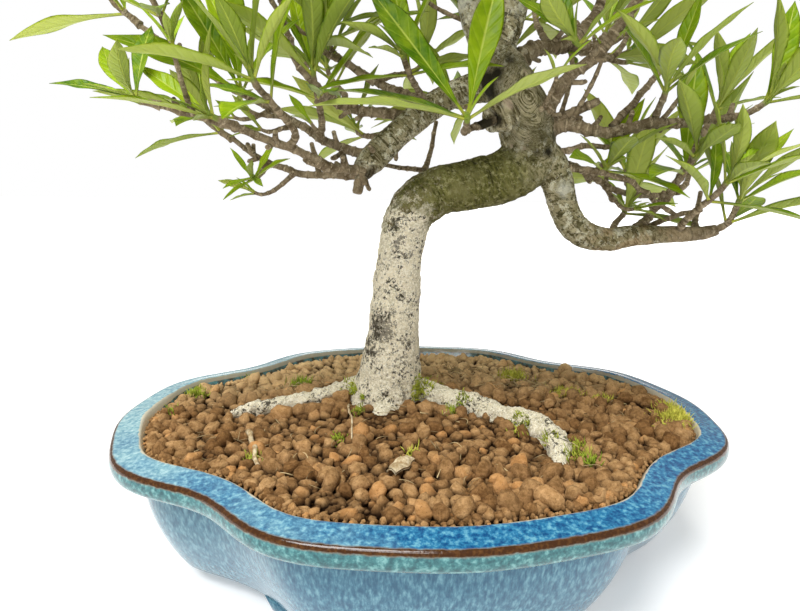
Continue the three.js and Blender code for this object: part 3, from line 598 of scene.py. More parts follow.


# Places on the bark that differ from the rest, with their reach and strength: the black hollow
# and the fold above it, painted dark as the shadow where the left limb passes behind, the bare
# wood between them, the scar under the knob and the pale cut stub (below 0 is dark); then patches
# of chalky bloom and of dark specks that are partly painted shade on the trunk's left side.
MARKS = (((27, -6, 210), 4.4, -1.6), ((31, -8.5, 208.5), 3.4, -1.3), ((24, -3, 212), 3.0, -0.9),
         ((27, 3, 223), 6, -1.2), ((29, 4, 229), 5, -1.2), ((33, -2, 232), 3, -1.0),
         ((38, -3, 238), 3, -0.8), ((36.5, -5.5, 217), 4.2, 0.9), ((38, -5, 212), 2.6, 0.6),
         ((40, -3, 199), 2.4, 0.7), ((45, -7, 197.5), 2.2, 0.7), ((51, -7, 196), 2.4, -0.9),
         ((57, -6, 196), 3, -1.0), ((60, -3, 203), 4, -0.8), ((41, -6, 205), 1.8, 0.6),
         ((-26, 12, 185), 5, -0.6), ((45, -4, 233), 3.5, 0.5), ((52, -6, 229), 3, 0.4))
BLOOM = (((68, -7, 179), 5, 1), ((88, -8, 161), 4, 1), ((95, -9, 161), 4, 1), ((46, -8, 239), 5, 1),
         ((20, 8, 250), 10, 1), ((17, 10, 268), 9, 1), ((41, -4, 262), 6, 1))
# Spots mostly on the trunk's left side where grey clouds and specks thicken: partly the bark's own
# patches, partly painted shade.
DARK_SPOTS_AND_SHADE = (((-25, -2, 113), 6, 1), ((-20, -3, 108), 6, 1), ((-8, -2, 101), 3.5, 1),
        ((-21, -2, 141), 3.5, 1), ((-15, -2, 151), 3, 1), ((-17, 0, 170), 3.5, 1),
        ((-15, -1, 160), 3.5, 1), ((-9, -1, 146), 2.6, 1), ((-24, 0, 124), 3.5, 1),
        ((-12, -3, 126), 2.6, 1), ((-13, -4, 81), 4, 1), ((-24, 2, 96), 5, 1))
KNOB = np.array([46.0, -8.0, 221.0])
HOLLOW, HOLLOW_SIZE, HOLLOW_DEPTH = np.array([27.5, -6.5, 209.5]), (5.0, 6.0, 4.6), 3.2


def spots(points, places, power):
    """Sum over the places of their strength times exp(-(distance / reach)^power)."""
    total = 0
    for place, reach, strength in places:
        away = np.linalg.norm(points - np.array(place), axis=1)
        total = total + strength * np.exp(-(away / reach) ** power)
    return total


def bark_values(points, travel, radius, cream, olive):
    """The numbers that the bark's finish reads: which bark, how thick, how far along, which marks,
    and the distance to the knob, squeezed upright and made uneven by noise."""
    whorl = np.linalg.norm((points - KNOB) / (1.0, 1.0, 1.3), axis=1)
    whorl = whorl + 2.2 * lattice_noise(points / 6.5, 31)
    tan = np.clip((points[:, 0] - 78) / 10, 0, 1) * np.clip((167 - points[:, 2]) / 5, 0, 1)
    nothing = np.zeros(len(points))
    return {"girth": np.clip((radius - 1.5) / 9, 0, 1), "travel": travel, "cream": cream,
            "olive": olive, "whorl": whorl, "knob": np.exp(-(whorl / 17) ** 4),
            "mark": spots(points, MARKS, 2), "bloom": np.minimum(spots(points, BLOOM, 4), 1),
            "dark_spots_and_shade": spots(points, DARK_SPOTS_AND_SHADE, 2), "tan": tan, "scar": nothing, "young": nothing}


bark = Finish("bark", Roughness=0.9, Specular_IOR_Level=0.15)
girth, cream, olive, mark, knob, dark_spots_and_shade, scar = map(bark.attribute, (
    "girth", "cream", "olive", "mark", "knob", "dark_spots_and_shade", "scar"))
fine = bark.noise(1.2, 4, 0.7)
patch = bark.noise(6, 5, 0.7)
clumps = bark.noise(11, 4, 0.65)

# Low down the bark is cream, under smoky clouds, fine dark specks and brown blots. Both clouds
# and specks thicken at spots mostly on the trunk's left side, partly the bark's own grey patches
# and partly painted shade.
pale_bark = patch.ramp(0.38, 0.62).mix((0.86, 0.77, 0.56), (0.59, 0.52, 0.35))
pale_bark = bark.noise(0.9, 3, 0.7).ramp(0.46, 0.60).mix(pale_bark, (0.96, 0.9, 0.74))
specks = (bark.noise(1.9, 5, 0.75) + clumps.ramp(0.38, 0.62, -0.12, 0.05)
          + dark_spots_and_shade.ramp(0.0, 1.0, 0.0, 0.07))
smoky = (bark.noise(8.0, 7, 0.85) + dark_spots_and_shade.ramp(0.0, 1.0, -0.05, 0.13)
         + bark.noise(1.5, 4, 0.75).ramp(0.35, 0.65, -0.11, 0.11))
blots = bark.noise(5.0, 6, 0.75) + cream.ramp(0.55, 1.0, 0.10, -0.12)
pale_bark = smoky.ramp(0.555, 0.585, 0.0, 0.82).mix(pale_bark, (0.16, 0.142, 0.108))
pale_bark = specks.ramp(0.55, 0.565, 0.0, 0.95).mix(pale_bark, (0.052, 0.044, 0.03))
pale_bark = blots.ramp(0.60, 0.625, 0.0, 0.9).mix(pale_bark, (0.115, 0.083, 0.03))

# Wrinkles run across a limb and fibres along it; both curl round the knob.
curled = bark.attribute("travel") * (1.0 - knob) + bark.attribute("whorl") * knob
lined = bark.wrinkles(curled, 1.15, 7.0).ramp(0.34, 0.66)
fibres = bark.wrinkles(curled, 9.0, 1.5).ramp(0.36, 0.64)
grained = fibres * 0.45 + lined * 0.55

# The level part is olive with algae.
moss_bark = grained.mix((0.018, 0.017, 0.002), (0.185, 0.18, 0.046))
moss_bark = bark.noise(2.4, 6, 0.78).ramp(0.51, 0.62, 0.0, 0.75).mix(
    moss_bark, (0.43, 0.405, 0.185))
moss_bark = clumps.ramp(0.50, 0.64, 0.0, 0.55).mix(moss_bark, (0.25, 0.23, 0.09))

# The limbs are grey, with pale flakes and dark blotches that keep off the knob, chalky white
# in places, and bare tan wood under the far end of the cascade.
still = 1.0 - knob * 0.75
grey_bark = clumps.ramp(0.42, 0.60).mix((0.3, 0.262, 0.14), (0.52, 0.455, 0.29))
grey_bark = grained.ramp(0.50, 0.30, 0.0, 0.9).mix(grey_bark, (0.08, 0.064, 0.026))
flakes = bark.noise(3.6, 6, 0.78).ramp(0.53, 0.58, 0.0, 0.85) * still
grey_bark = flakes.mix(grey_bark, (0.8, 0.77, 0.58))
blotches = bark.noise(5.0, 6, 0.80).ramp(0.545, 0.575, 0.0, 0.85) * still
grey_bark = blotches.mix(grey_bark, (0.05, 0.042, 0.014))
chalky = bark.attribute("bloom") * patch.ramp(0.42, 0.55, 0.0, 0.75)
grey_bark = chalky.mix(grey_bark, (0.86, 0.85, 0.72))
tan_bark = fibres.mix((0.17, 0.108, 0.045), (0.52, 0.385, 0.215))
grey_bark = (bark.attribute("tan") * clumps.ramp(0.40, 0.52, 0.1, 0.85)).mix(grey_bark, tan_bark)
grey_bark = (lined.ramp(0.60, 0.20, 0.0, 0.75) * knob).mix(grey_bark, (0.055, 0.044, 0.016))

# Twigs are brown with pale rings at the old leaf scars.
twig_bark = patch.ramp(0.34, 0.62).mix((0.12, 0.085, 0.044), (0.365, 0.285, 0.175))
twig_bark = bark.noise(3.4, 5, 0.75).ramp(0.52, 0.64, 0.0, 0.7).mix(
    twig_bark, (0.52, 0.44, 0.3))
twig_bark = lined.ramp(0.35, 0.0, 0.0, 0.6).mix(twig_bark, (0.05, 0.036, 0.017))
twig_bark = (scar * fine.ramp(0.35, 0.6)).ramp(0.3, 0.7).mix(twig_bark, (0.56, 0.455, 0.3))

# Each kind of bark takes its place by girth and height; then come pores, the bare wood, the
# black hollow and the painted shadow of the marks, and the green ends of shoots.
skin = girth.ramp(0.22, 0.42).mix(twig_bark, grey_bark)
skin = olive.mix(skin, moss_bark)
edge = cream + bark.noise(9, 6, 0.75).ramp(0.3, 0.7, -0.42, 0.42)
skin = edge.ramp(0.28, 0.72).mix(skin, pale_bark)
skin = fine.ramp(0.60, 0.72, 0.0, 0.75).mix(skin, (0.04, 0.032, 0.014))
shaggy = mark + patch.ramp(0.3, 0.7, -0.25, 0.25)
skin = shaggy.ramp(0.45, 0.75, 0.0, 0.8).mix(skin, (0.52, 0.4, 0.29))
# Near-black and dark brown where a mark is below 0, as in the hollow's black rot and in the painted
# shadow of the fold above it.
skin = shaggy.ramp(-0.85, -0.45, 0.96, 0.0).mix(skin, (0.01, 0.009, 0.006))
skin = shaggy.ramp(-0.45, -0.2, 0.5, 0.0).mix(skin, (0.035, 0.028, 0.012))
skin = bark.attribute("young").ramp(0.5, 0.95).mix(skin, (0.27, 0.36, 0.06))
relief = fine * 0.9 + bark.noise(0.55, 3, 0.7) + grained * ((1.0 - cream * 0.75) * 0.75)
bark.finish(skin, relief, 0.0009)


def thick_wood(name, names, cell, rounds, node):
    """The joined skin, rounded in its forks, then raised and sunk along its normals by the bark's
    own relief, a sum of noises: lumps, lengthwise ridges, crust, wrinkles across the limb, curls
    round the knob, the marks, and a pit in the hollow, its depth times exp(-distance^4)."""
    points, quads = wood_shell(names, cell)
    points = smoothed(points, quads, rounds)
    normals = point_normals(points, quads)
    row, _ = nearest_wood(points)
    radius, direction, travel, cream, olive = np.split(wood_samples[row, 3:], (1, 4, 5, 6), 1)
    radius, travel, cream, olive = (part[:, 0] for part in (radius, travel, cream, olive))
    travel = travel + ((points - wood_samples[row, :3]) * direction).sum(1)
    values = bark_values(points, travel, radius, cream, olive)
    girth, knob, root = values["girth"], values["knob"], np.clip((84 - points[:, 2]) / 12, 0, 1)
    x, y, z = points.T / 9
    lumps = lattice_noise(points / 13, 5) + 0.6 * lattice_noise(points / 6, 6)
    squeezed = points - direction * (points * direction).sum(1)[:, None] * 0.86
    ridges = lattice_noise(squeezed / 1.9, 7)
    crust = lattice_noise(points / 3.4, 17) + 0.6 * lattice_noise(points / 1.4, 18)
    across = lattice_noise(np.column_stack([travel / 1.5, x + z, y]), 8)
    curls = lattice_noise(np.column_stack([values["whorl"] / 1.5, x, z]), 9)
    smooth_part = np.clip(olive + 0.3, 0, 1) * (1 - knob)
    height = (lumps * (0.15 + 0.55 * girth + 0.35 * root) + ridges * (0.10 + 0.16 * girth)
              + crust * (0.14 + 0.10 * cream + 0.85 * root) + across * 0.28 * smooth_part
              + curls * 0.75 * knob + 0.5 * values["mark"].clip(-1.5, 0.6))
    pit = np.linalg.norm((points - HOLLOW) / HOLLOW_SIZE, axis=1)
    height = height - HOLLOW_DEPTH * np.exp(-pit ** 4) * (1 + 0.5 * crust)
    points = points + normals * height[:, None]
    new_piece(name, points, [quads], bark.material, values, node)


thick_wood("bare_trunk", THICK, 0.79, 8, "trunk")

# The branches and twigs: thinner stems of the same wood, grown out of the limbs, with a low
# ring at every old leaf scar, dead stubs, and short side twigs that carry a few young leaves.


def ringed_tube(place, length, thick, rng, sides=12, collar=0.5, kink=0.35, end=0.75):
    """A grown stem along a curve. Its radius is the given one, times a collar that dies away from
    the foot, with a low ring at each leaf scar 4 to 8 mm apart, where the stem also bends a
    little to and fro; lumps between them; and a rounded end."""
    share = np.linspace(0, 1, max(10, int(length / 0.85)))
    travel = share * length
    knots = np.cumsum(rng.uniform(4, 8, int(length / 4) + 2))
    scar = np.exp(-((travel[:, None] - knots[None]) / 0.62) ** 2).max(1)
    radius = thick(share)
    centre, along, across, front = swept_frames(place, share)
    swing = np.resize([1, -1], (len(knots), 1))
    bends = rng.uniform(-1, 1, (len(knots), 2)) * kink * radius.mean() * swing
    hold = np.minimum(travel / 6, 1)
    for side, bend in ((across, bends[:, 0]), (front, bends[:, 1])):
        centre = centre + side * (np.interp(travel, knots, bend) * hold)[:, None]
    width = radius * (1 + collar * np.exp(-travel / (1.2 * radius[0]))) * (1 + 0.22 * scar)
    turn = np.tile(np.arange(sides) * 2 * np.pi / sides, len(share))[:, None]
    rough = lattice_noise(np.repeat(centre, sides, 0) / 2.6 + turn * (0.5, 0.35, 0), 21)
    width = width[:, None] * (1 + 0.10 * rough.reshape(-1, sides))
    rings = list(swept_rings((centre, along, across, front), width, sides))
    last = rings[-1]
    for out, shrink in ((0.35, 0.9), (0.7, end)):
        rings.append(centre[-1] + along[-1] * out * radius[-1] + (last - centre[-1]) * shrink)
    points, faces = stacked(rings)

    def on_rings(numbers):
        """One number a ring, given to its points, to the two end rings and to both tips."""
        return np.append(np.repeat(np.append(numbers, [numbers[-1]] * 2), sides), numbers[[0, -1]])

    nothing = np.zeros(len(points))
    values = bark_values(points, on_rings(travel), on_rings(radius), nothing, nothing)
    values["scar"] = on_rings(scar)
    return points, faces, values


def together(parts):
    """Several parts' points, faces and values as one."""
    base, points, quads, tris = 0, [], [], []
    for made, faces, _ in parts:
        points.append(made)
        quads.append(faces[0] + base)
        tris.append(faces[1] + base)
        base += len(made)
    values = {key: np.concatenate([part[2][key] for part in parts]) for key in parts[0][2]}
    return np.concatenate(points), [np.concatenate(quads), np.concatenate(tris)], values


def unit(vector):
    """The vector at length 1."""
    return vector / np.linalg.norm(vector)


def bowed(start, leave, arrive, end):
    """Cubic curve between two points by way of two handles, as a function of the share t: weights
    (1 - t)^3, 3t(1 - t)^2, 3t^2(1 - t) and t^3."""
    handles = np.array([start, leave, arrive, end])

    def place(part):
        """Points at the shares."""
        part = np.atleast_1d(part)[:, None]
        rest = 1 - part
        weights = (rest ** 3, 3 * part * rest ** 2, 3 * part ** 2 * rest, part ** 3)
        return sum(weight * handle for weight, handle in zip(weights, handles))

    return place


UP = np.array([0.0, 0.0, 1.0])
# The share of a route's radius that its branch is drawn with, and the least radius.
SLIM, LEAST = 0.68, 1.25
SLIMMER = {"level": 0.60, "innerLeft": 0.58, "thinArm": 0.60, "cascadeArm": 0.60,
           "upperLeft": 0.56, "lowerLeft": 0.56, "underLeft": 0.60}
WITH_STUBS = ("leaderLeft", "leaderRight", "leftLimb")
rng = np.random.default_rng(41)
branches, sprigs = [], []
for name in WOOD:
    if name == "hollowStub" or name in THICK and name not in WITH_STUBS:
        continue
    length = np.linalg.norm(np.diff(np.array(WOOD[name])[:, :3], axis=0), axis=1).sum()

    def middle(part, name=name):
        """The route's middle line."""
        return route(name, part)[0]

    def thick(part, name=name):
        """The branch's radius along the route."""
        return np.maximum(route(name, part)[1] * SLIMMER.get(name, SLIM), LEAST)

    if name not in THICK:
        branches.append(ringed_tube(middle, length, thick, rng, 14))
    # Dead stubs and short side twigs, thrown along each branch.
    for share in rng.uniform(0.12, 0.97, int(length / 11)):
        centre, along, across, front = swept_frames(middle, np.array([0.0, share]))
        turn = rng.uniform(0, 2 * np.pi)
        out = unit(math.cos(turn) * across[1] + math.sin(turn) * front[1]
                   + 0.5 * along[1] + 0.25 * UP)
        reach = route(name, share)[1][0] * (SLIM if name not in THICK else 1)
        long = rng.random() < 0.24
        size = rng.uniform(11, 26) if long else rng.uniform(2.0, 5.5)
        start = centre[1] + out * reach * 0.5
        tip = start + out * (size + reach) + UP * (size * 0.3 if long else 0)
        place = bowed(start, start + out * size * 0.4, tip - unit(out + UP) * size * 0.3, tip)
        top = 0.85 if long else 1.05
        branches.append(ringed_tube(place, size + reach, lambda part: LEAST + (top - LEAST) * part,
                                    rng, 8, 0.4, 0.3, 0.6))
        if long:
            sprigs.append((tip, unit(place(1)[0] - place(0.95)[0])))
# Bare twigs of the photograph that carry no leafy stem in the frame.
for path in (((-63, 6, 251), (-51, 8, 242), (-39, 12, 237), (-24, 18, 229)),
             ((-21, 40, 190), (-5, 42, 189), (10, 44, 187), (24, 36, 186)),
             ((14, 60, 215), (11, 55, 199), (7, 48, 190), (4, 40, 186)),
             ((-58, 0, 190), (-52, 4, 187), (-44, 10, 187), (-30, 14, 187)),
             ((143, 0, 169), (126, 4, 165), (114, 5, 158), (106, 0, 156)),
             ((93, -8, 199), (83, -6, 200), (73, -2, 198), (60, 3, 196)),
             ((127, -4, 166), (106, -6, 179), (88, -4, 187), (66, 3, 190)),
             ((121, -10, 257), (113, -8, 239), (102, -4, 224), (88, -8, 208)),
             ((113, 26, 275), (105, 22, 254), (92, 20, 244), (76, 18, 250)),
             ((148, 10, 178), (146, 8, 169), (142, 2, 162), (137, -9, 158)),
             ((-29, 10, 180), (-30, 10.5, 183), (-30, 11, 186), (-29, 14, 189)),
             ((20, -6, 207), (23, -4.5, 207.2), (27, -3, 208.5), (33, -1, 211))):
    path = np.array(path, dtype=float)
    length = np.linalg.norm(np.diff(path, axis=0), axis=1).sum()
    flow = bowed(path[3], path[3] + (path[2] - path[3]) * 1.6,
                 path[0] + (path[1] - path[0]) * 1.6, path[0])
    branches.append(ringed_tube(flow, length, lambda part: 1.75 - 0.65 * part,
                                rng, 10, 0.4, 0.5, 0.6))
points, faces, values = together(branches)
new_piece("branches", points, faces, bark.material, values)

# The akadama grains: hard-baked clay, 3 to 10 mm across, poured in loose round the roots and
# heaped a little against the wall, with painted shade on their lower parts. They are thrown once
# the roots are known.
clay = Finish("akadama", Roughness=0.95, Specular_IOR_Level=0.1)
tint = clay.attribute("tint")
dull = tint.mix((0.11, 0.05, 0.016), (0.34, 0.19, 0.072))
light = tint.mix((0.29, 0.15, 0.054), (0.64, 0.395, 0.185))
warm = clay.noise(2.6, 5, 0.75).ramp(0.38, 0.66).mix(dull, light)
warm = tint.ramp(0.80, 0.95, 0.0, 0.5).mix(warm, (0.56, 0.25, 0.075))
# Paler tan patches towards the back: partly dust, partly painted light on the back of the soil.
dust_and_light = clay.axes()[1].ramp(0.005, 0.075) * clay.noise(9, 4, 0.7).ramp(0.35, 0.6, 0.35, 0.9)
warm = dust_and_light.mix(warm, (0.8, 0.57, 0.29))
warm = clay.noise(0.9, 3, 0.7).ramp(0.58, 0.70, 0.0, 0.7).mix(warm, (0.055, 0.022, 0.007))
warm = clay.noise(0.7, 3, 0.7).ramp(0.64, 0.74, 0.0, 0.5).mix(warm, (0.62, 0.42, 0.22))
# Painted shade: below their level the grains' lower parts are darkened to near-black, as if shaded
# between the grains.
warm = clay.attribute("rise").ramp(-0.52, 0.50, 0.97, 0.0).mix(warm, (0.02, 0.008, 0.003))
clay.finish(warm, clay.noise(1.3, 5, 0.75) + clay.noise(0.45, 2) * 0.5, 0.0009)


def room_inside(x, y):
    """Distance to the pot's outline along the ray from the middle."""
    turn = np.arctan2(y / POT_HALF[1], x / POT_HALF[0])
    return np.hypot(*pot_outline(turn).T) - np.hypot(x, y)


def ball(cuts):
    """Points on a unit ball and their triangles: an icosahedron whose faces are cut in four."""
    golden = (1 + 5 ** 0.5) / 2
    points = np.array([(-1, golden, 0), (1, golden, 0), (-1, -golden, 0), (1, -golden, 0),
                       (0, -1, golden), (0, 1, golden), (0, -1, -golden), (0, 1, -golden),
                       (golden, 0, -1), (golden, 0, 1), (-golden, 0, -1), (-golden, 0, 1)])
    faces = np.array([(0, 11, 5), (0, 5, 1), (0, 1, 7), (0, 7, 10), (0, 10, 11), (1, 5, 9),
                      (5, 11, 4), (11, 10, 2), (10, 7, 6), (7, 1, 8), (3, 9, 4), (3, 4, 2),
                      (3, 2, 6), (3, 6, 8), (3, 8, 9), (4, 9, 5), (2, 4, 11), (6, 2, 10),
                      (8, 6, 7), (9, 8, 1)])
    points /= np.linalg.norm(points, axis=1, keepdims=True)
    for _ in range(cuts):
        pairs = np.concatenate([faces[:, [0, 1]], faces[:, [1, 2]], faces[:, [2, 0]]])
        pairs = np.sort(pairs, axis=1)
        unique, back = np.unique(pairs, axis=0, return_inverse=True)
        middles = points[unique].mean(1)
        middles /= np.linalg.norm(middles, axis=1, keepdims=True)
        ab, bc, ca = back.reshape(3, -1) + len(points)
        a, b, c = faces.T
        points = np.concatenate([points, middles])
        faces = np.concatenate([np.stack(row, 1) for row in
                                ((a, ab, ca), (b, bc, ab), (c, ca, bc), (ab, bc, ca))])
    return points, faces


# How far inside the pot's outline grains are thrown, are pushed back to, and have to lie.
THROWN_OFF, PUSHED_OFF, KEPT_OFF = 18, 16.2, 14.2


def thrown_inside(rng, count, gap):
    """Places thrown evenly over the pot's mouth, less those nearer to its outline than the gap."""
    thrown = rng.uniform((-136, -113), (136, 113), (count, 2))
    return thrown[room_inside(*thrown.T) > gap]


def spread_grains(count, smallest, largest, lean, seed, rounds):
    """Centres thrown evenly inside the wall. Each round moves two whose circles overlap apart by a
    third of the overlap, and one that is too near the wall back inwards."""
    rng = np.random.default_rng(seed)
    radius = smallest + (largest - smallest) * rng.beta(1.3, lean, count)
    centre = np.empty((0, 2))
    while len(centre) < count:
        centre = np.concatenate([centre, thrown_inside(rng, count, THROWN_OFF)])
    centre = centre[:count].astype(np.float32)
    both = (radius[:, None] + radius[None]).astype(np.float32)
    for _ in range(rounds):
        gap = centre[:, None] - centre[None]
        away = np.hypot(gap[..., 0], gap[..., 1]) + 1e-4
        push = np.maximum(both - away, 0)
        np.fill_diagonal(push, 0)
        centre = centre + 0.32 * (gap * (push / away)[..., None]).sum(1)
        short = np.maximum(PUSHED_OFF + radius - room_inside(*centre.T), 0)
        centre = centre * (1 - short / (np.hypot(*centre.T) + 1))[:, None]
    return centre.astype(float), radius, rng


GRAIN_CUT = 0.70


def grain_piece(name, centre, height, radius, level, rng, cuts):
    """Each grain is the unit ball with its points moved in and out at random, cut off by nine
    planes 0.70 from its middle, stretched, turned at random, scaled and set in place."""
    unit_ball, faces = ball(cuts)
    count = len(centre)
    turn = np.linalg.qr(rng.normal(size=(count, 3, 3)))[0]
    lump = 1 + 0.10 * rng.normal(size=(count, len(unit_ball))).clip(-1.6, 1.6)
    planes = rng.normal(size=(count, 9, 3))
    planes /= np.linalg.norm(planes, axis=2, keepdims=True)
    reach = np.einsum("pk,cfk->cpf", unit_ball, planes)
    flatten = np.where(reach > GRAIN_CUT, GRAIN_CUT / np.maximum(reach, GRAIN_CUT), 1).min(2)
    stretch = rng.uniform((0.95, 0.78, 0.70), (1.38, 1.12, 0.98), (count, 1, 3))
    shape = unit_ball[None] * (lump * flatten)[..., None] * stretch
    placed = np.einsum("cpk,ckj->cpj", shape, turn) * radius[:, None, None] * 1.16
    placed += np.column_stack([centre, height])[:, None]
    every = (faces[None] + np.arange(count)[:, None, None] * len(unit_ball)).reshape(-1, 3)
    flip = np.repeat(np.linalg.det(turn) < 0, len(faces))
    every[flip] = every[flip][:, ::-1]
    # Each point keeps its rise above the level, in steps of 2.6 mm, for the painted shade on the
    # grains' lower parts.
    new_piece(name, placed.reshape(-1, 3), [every], clay.material, {
        "tint": np.repeat(rng.beta(1.1, 1.3, count), len(unit_ball)),
        "rise": ((placed[..., 2] - level[:, None]) / 2.6).ravel()})


HEAP = 2.3


def heap(centre):
    """Near 1 within 19 mm of the outline, falling off inwards as exp(-(distance / 16)^2)."""
    return np.exp(-((room_inside(*centre.T) - 19) / 16).clip(0) ** 2)


def grain_level(centre, beside):
    """The grains' own level, from which the painted shade on their lower parts is measured: the
    soil's, heaped near the wall, and lower right against a root or the wall by 1.3 exp(-(gap / 6)^2)
    and
    3 exp(-(gap / 3.5)^2)."""
    return (soil_height(*centre.T) + HEAP * heap(centre) - 1.3 * np.exp(-(beside.clip(0) / 6) ** 2)
            - 3.0 * np.exp(-((room_inside(*centre.T) - 15) / 3.5) ** 2))


def root_gaps(centre, height):
    """The distance to the nearest root's bark, and the same seen from above."""
    row, gap = nearest_wood(np.column_stack([centre, height]), roots)
    return gap, np.hypot(*(centre - roots[row, :2]).T) - roots[row, 3]


# Rows of small grains that lean on the wall: the distance inside the outline, the number and the
# least and greatest radius; and the highest that they lie.
KERBS = ((18.2, 190, 1.4, 2.8), (16.5, 260, 0.9, 1.5), (15.3, 280, 0.7, 1.1))
KERB_TOP = 65.9
roots = wood_samples[wood_samples[:, 2] < 90]
laid = []
# Each sort of grain: number, least and greatest radius, how far they lean to the small, seed,
# rounds of pushing, the share of the radius that is sunk in the bed, and cuts of the ball.
for name, count, small, large, lean, seed, rounds, sink, cuts in (
        ("akadama_grains", 1420, 1.8, 4.9, 1.9, 11, 40, 0.22, 1),
        ("akadama_fines", 1900, 0.7, 1.7, 1.5, 12, 8, 0.2, 0),
        ("akadama_loose", 420, 1.9, 4.6, 1.4, 13, 16, -0.55, 1)):
    centre, radius, rng = spread_grains(count, small, large, lean, seed, rounds)
    height = (soil_height(*centre.T) + HEAP * heap(centre) - sink * radius
              + rng.uniform(-0.8, 0.9, count) - 0.9)
    if name == "akadama_loose":
        kerb = np.concatenate([pot_ring(inset, 0.0, number)[:, :2]
                               for inset, number, _, _ in KERBS])
        kerb += rng.normal(0, 0.3, kerb.shape)
        wide = [rng.uniform(least, most, number) for _, number, least, most in KERBS]
        lift = soil_height(*kerb.T) + rng.uniform(1.2, 3.0, len(kerb))
        centre, radius = np.concatenate([centre, kerb]), np.concatenate([radius, *wide])
        height = np.append(height, np.minimum(lift, KERB_TOP))
    gap, beside = root_gaps(centre, height)
    height = height - 2.2 * np.exp(-(beside.clip(0) / 6) ** 2)
    clear = ((gap > 0.30 * radius) & (beside > 0.2 * radius - 0.8)
             & (room_inside(*centre.T) > KEPT_OFF + radius * 0.8))
    level = grain_level(centre, beside)
    grain_piece(name, centre[clear], height[clear], radius[clear], level[clear], rng, cuts)
    laid.append(np.column_stack([centre, height, radius])[clear])

# Smaller grains that have rolled into the hollows left between the others: of many places
# thrown, those where the grains' tops lie well below their level.
rng = np.random.default_rng(14)
laid = np.concatenate(laid)
thrown = thrown_inside(rng, 9000, 17)
beside = root_gaps(thrown, soil_height(*thrown.T))[1]
thrown, beside = thrown[beside > 2.2], beside[beside > 2.2]
wide = rng.uniform(1.2, 2.5, len(thrown))
level = grain_level(thrown, beside)
height = level + 0.3 - wide
rolled = []
for number, place in enumerate(thrown):
    away = np.hypot(*(laid[:, :2] - place).T)
    near = away < laid[:, 3]
    tops = laid[near, 2] + np.sqrt(laid[near, 3] ** 2 - away[near] ** 2)
    if tops.max(initial=0) < level[number] - 1.3:
        rolled.append(number)
        laid = np.vstack([laid, [*place, height[number], wide[number]]])
grain_piece("akadama_rolled", thrown[rolled], height[rolled], wide[rolled], level[rolled], rng, 1)

# Moss in small cushions on the soil and on the root crown, each a tuft of fine blades rooted
# among the grains or in the bark.


def needles(foot, tip, bend, width, steps=3):
    """Thin three-sided blades, all at once. The middle goes from foot to tip, bowed by bend times
    4t(1 - t); the half width falls as 1 - 0.55 t and ends in a point."""
    share = np.linspace(0, 1, steps + 1)[:-1]
    way = tip - foot
    side = np.cross(way, [0.31, 0.52, 0.79])
    side /= np.linalg.norm(side, axis=1, keepdims=True)
    third = np.cross(way, side)
    third /= np.linalg.norm(third, axis=1, keepdims=True)
    centre = (foot[:, None] + way[:, None] * share[None, :, None]
              + bend[:, None] * (4 * share * (1 - share))[None, :, None])
    turn = np.arange(3) * 2 * np.pi / 3
    circle = np.cos(turn)[:, None] * side[:, None] + np.sin(turn)[:, None] * third[:, None]
    breadth = width[:, None] * (1 - 0.55 * share)[None]
    ring = centre[:, :, None] + circle[:, None] * breadth[..., None, None]
    count = steps * 3 + 1
    points = np.concatenate([ring.reshape(len(foot), -1, 3), tip[:, None]], 1).reshape(-1, 3)
    here, onward = np.arange(3), (np.arange(3) + 1) % 3
    bands = np.concatenate([np.column_stack([here, onward, onward + 3, here + 3]) + 3 * level
                            for level in range(steps - 1)])
    last = 3 * (steps - 1)
    ends = np.concatenate([np.column_stack([here + last, onward + last, np.full(3, count - 1)]),
                           [[2, 1, 0]]])
    base = np.arange(len(foot))[:, None, None] * count
    return points, [(bands[None] + base).reshape(-1, 4), (ends[None] + base).reshape(-1, 3)]


# Each cushion on the soil: its place, spread, height, number of blades and freshness.
rng = np.random.default_rng(91)
feet, tips, fresh = [], [], []
for x, y, spread, tall, count, colour in (
        (125, -27, 8.5, 4.2, 850, 0.15), (129, -15, 6, 3.8, 450, 0.2), (117, -36, 5, 3.2, 190, 0.15),
        (41, -35, 4.0, 2.6, 90, 0.5), (60, -62, 5.0, 3.2, 80, 0.6), (61, -70, 3.0, 3.8, 40, 1.0),
        (64, -50, 4, 2.2, 60, 0.6), (-64, 44, 5.5, 4.2, 170, 0.95), (-121, 38, 6, 3.6, 150, 0.7),
        (-127, 8, 3.2, 3, 70, 0.9), (-12, -60, 3.6, 3, 110, 0.3), (12, -17, 4, 2.2, 80, 0.7),
        (-34, -16, 4, 2, 60, 0.7), (66, 56, 7, 4.4, 320, 0.3), (88, 26, 8, 2.4, 260, 0.1),
        (104, 14, 6, 2.4, 90, 0.1), (-80, -52, 3.5, 2.4, 70, 0.6), (8, 24, 5, 3, 120, 0.6),
        (-96, 66, 5, 3, 90, 0.75), (-44, -40, 3, 2.2, 60, 0.8)):
    place = rng.normal(0, spread / 1.8, (count, 2)) + (x, y)
    place = place[room_inside(*place.T) > 15.5]
    level = soil_height(*place.T) + 2.0 * heap(place)
    foot = np.column_stack([place, level + rng.uniform(-0.6, 1.4, len(place))])
    lean = rng.normal(0, 0.42, (len(place), 3)) + (0, 0, 1)
    feet.append(foot)
    tips.append(foot + lean * tall * rng.uniform(0.5, 1.1, (len(place), 1)))
    fresh.append(np.clip(colour + rng.normal(0, 0.12, len(place)), 0, 1))
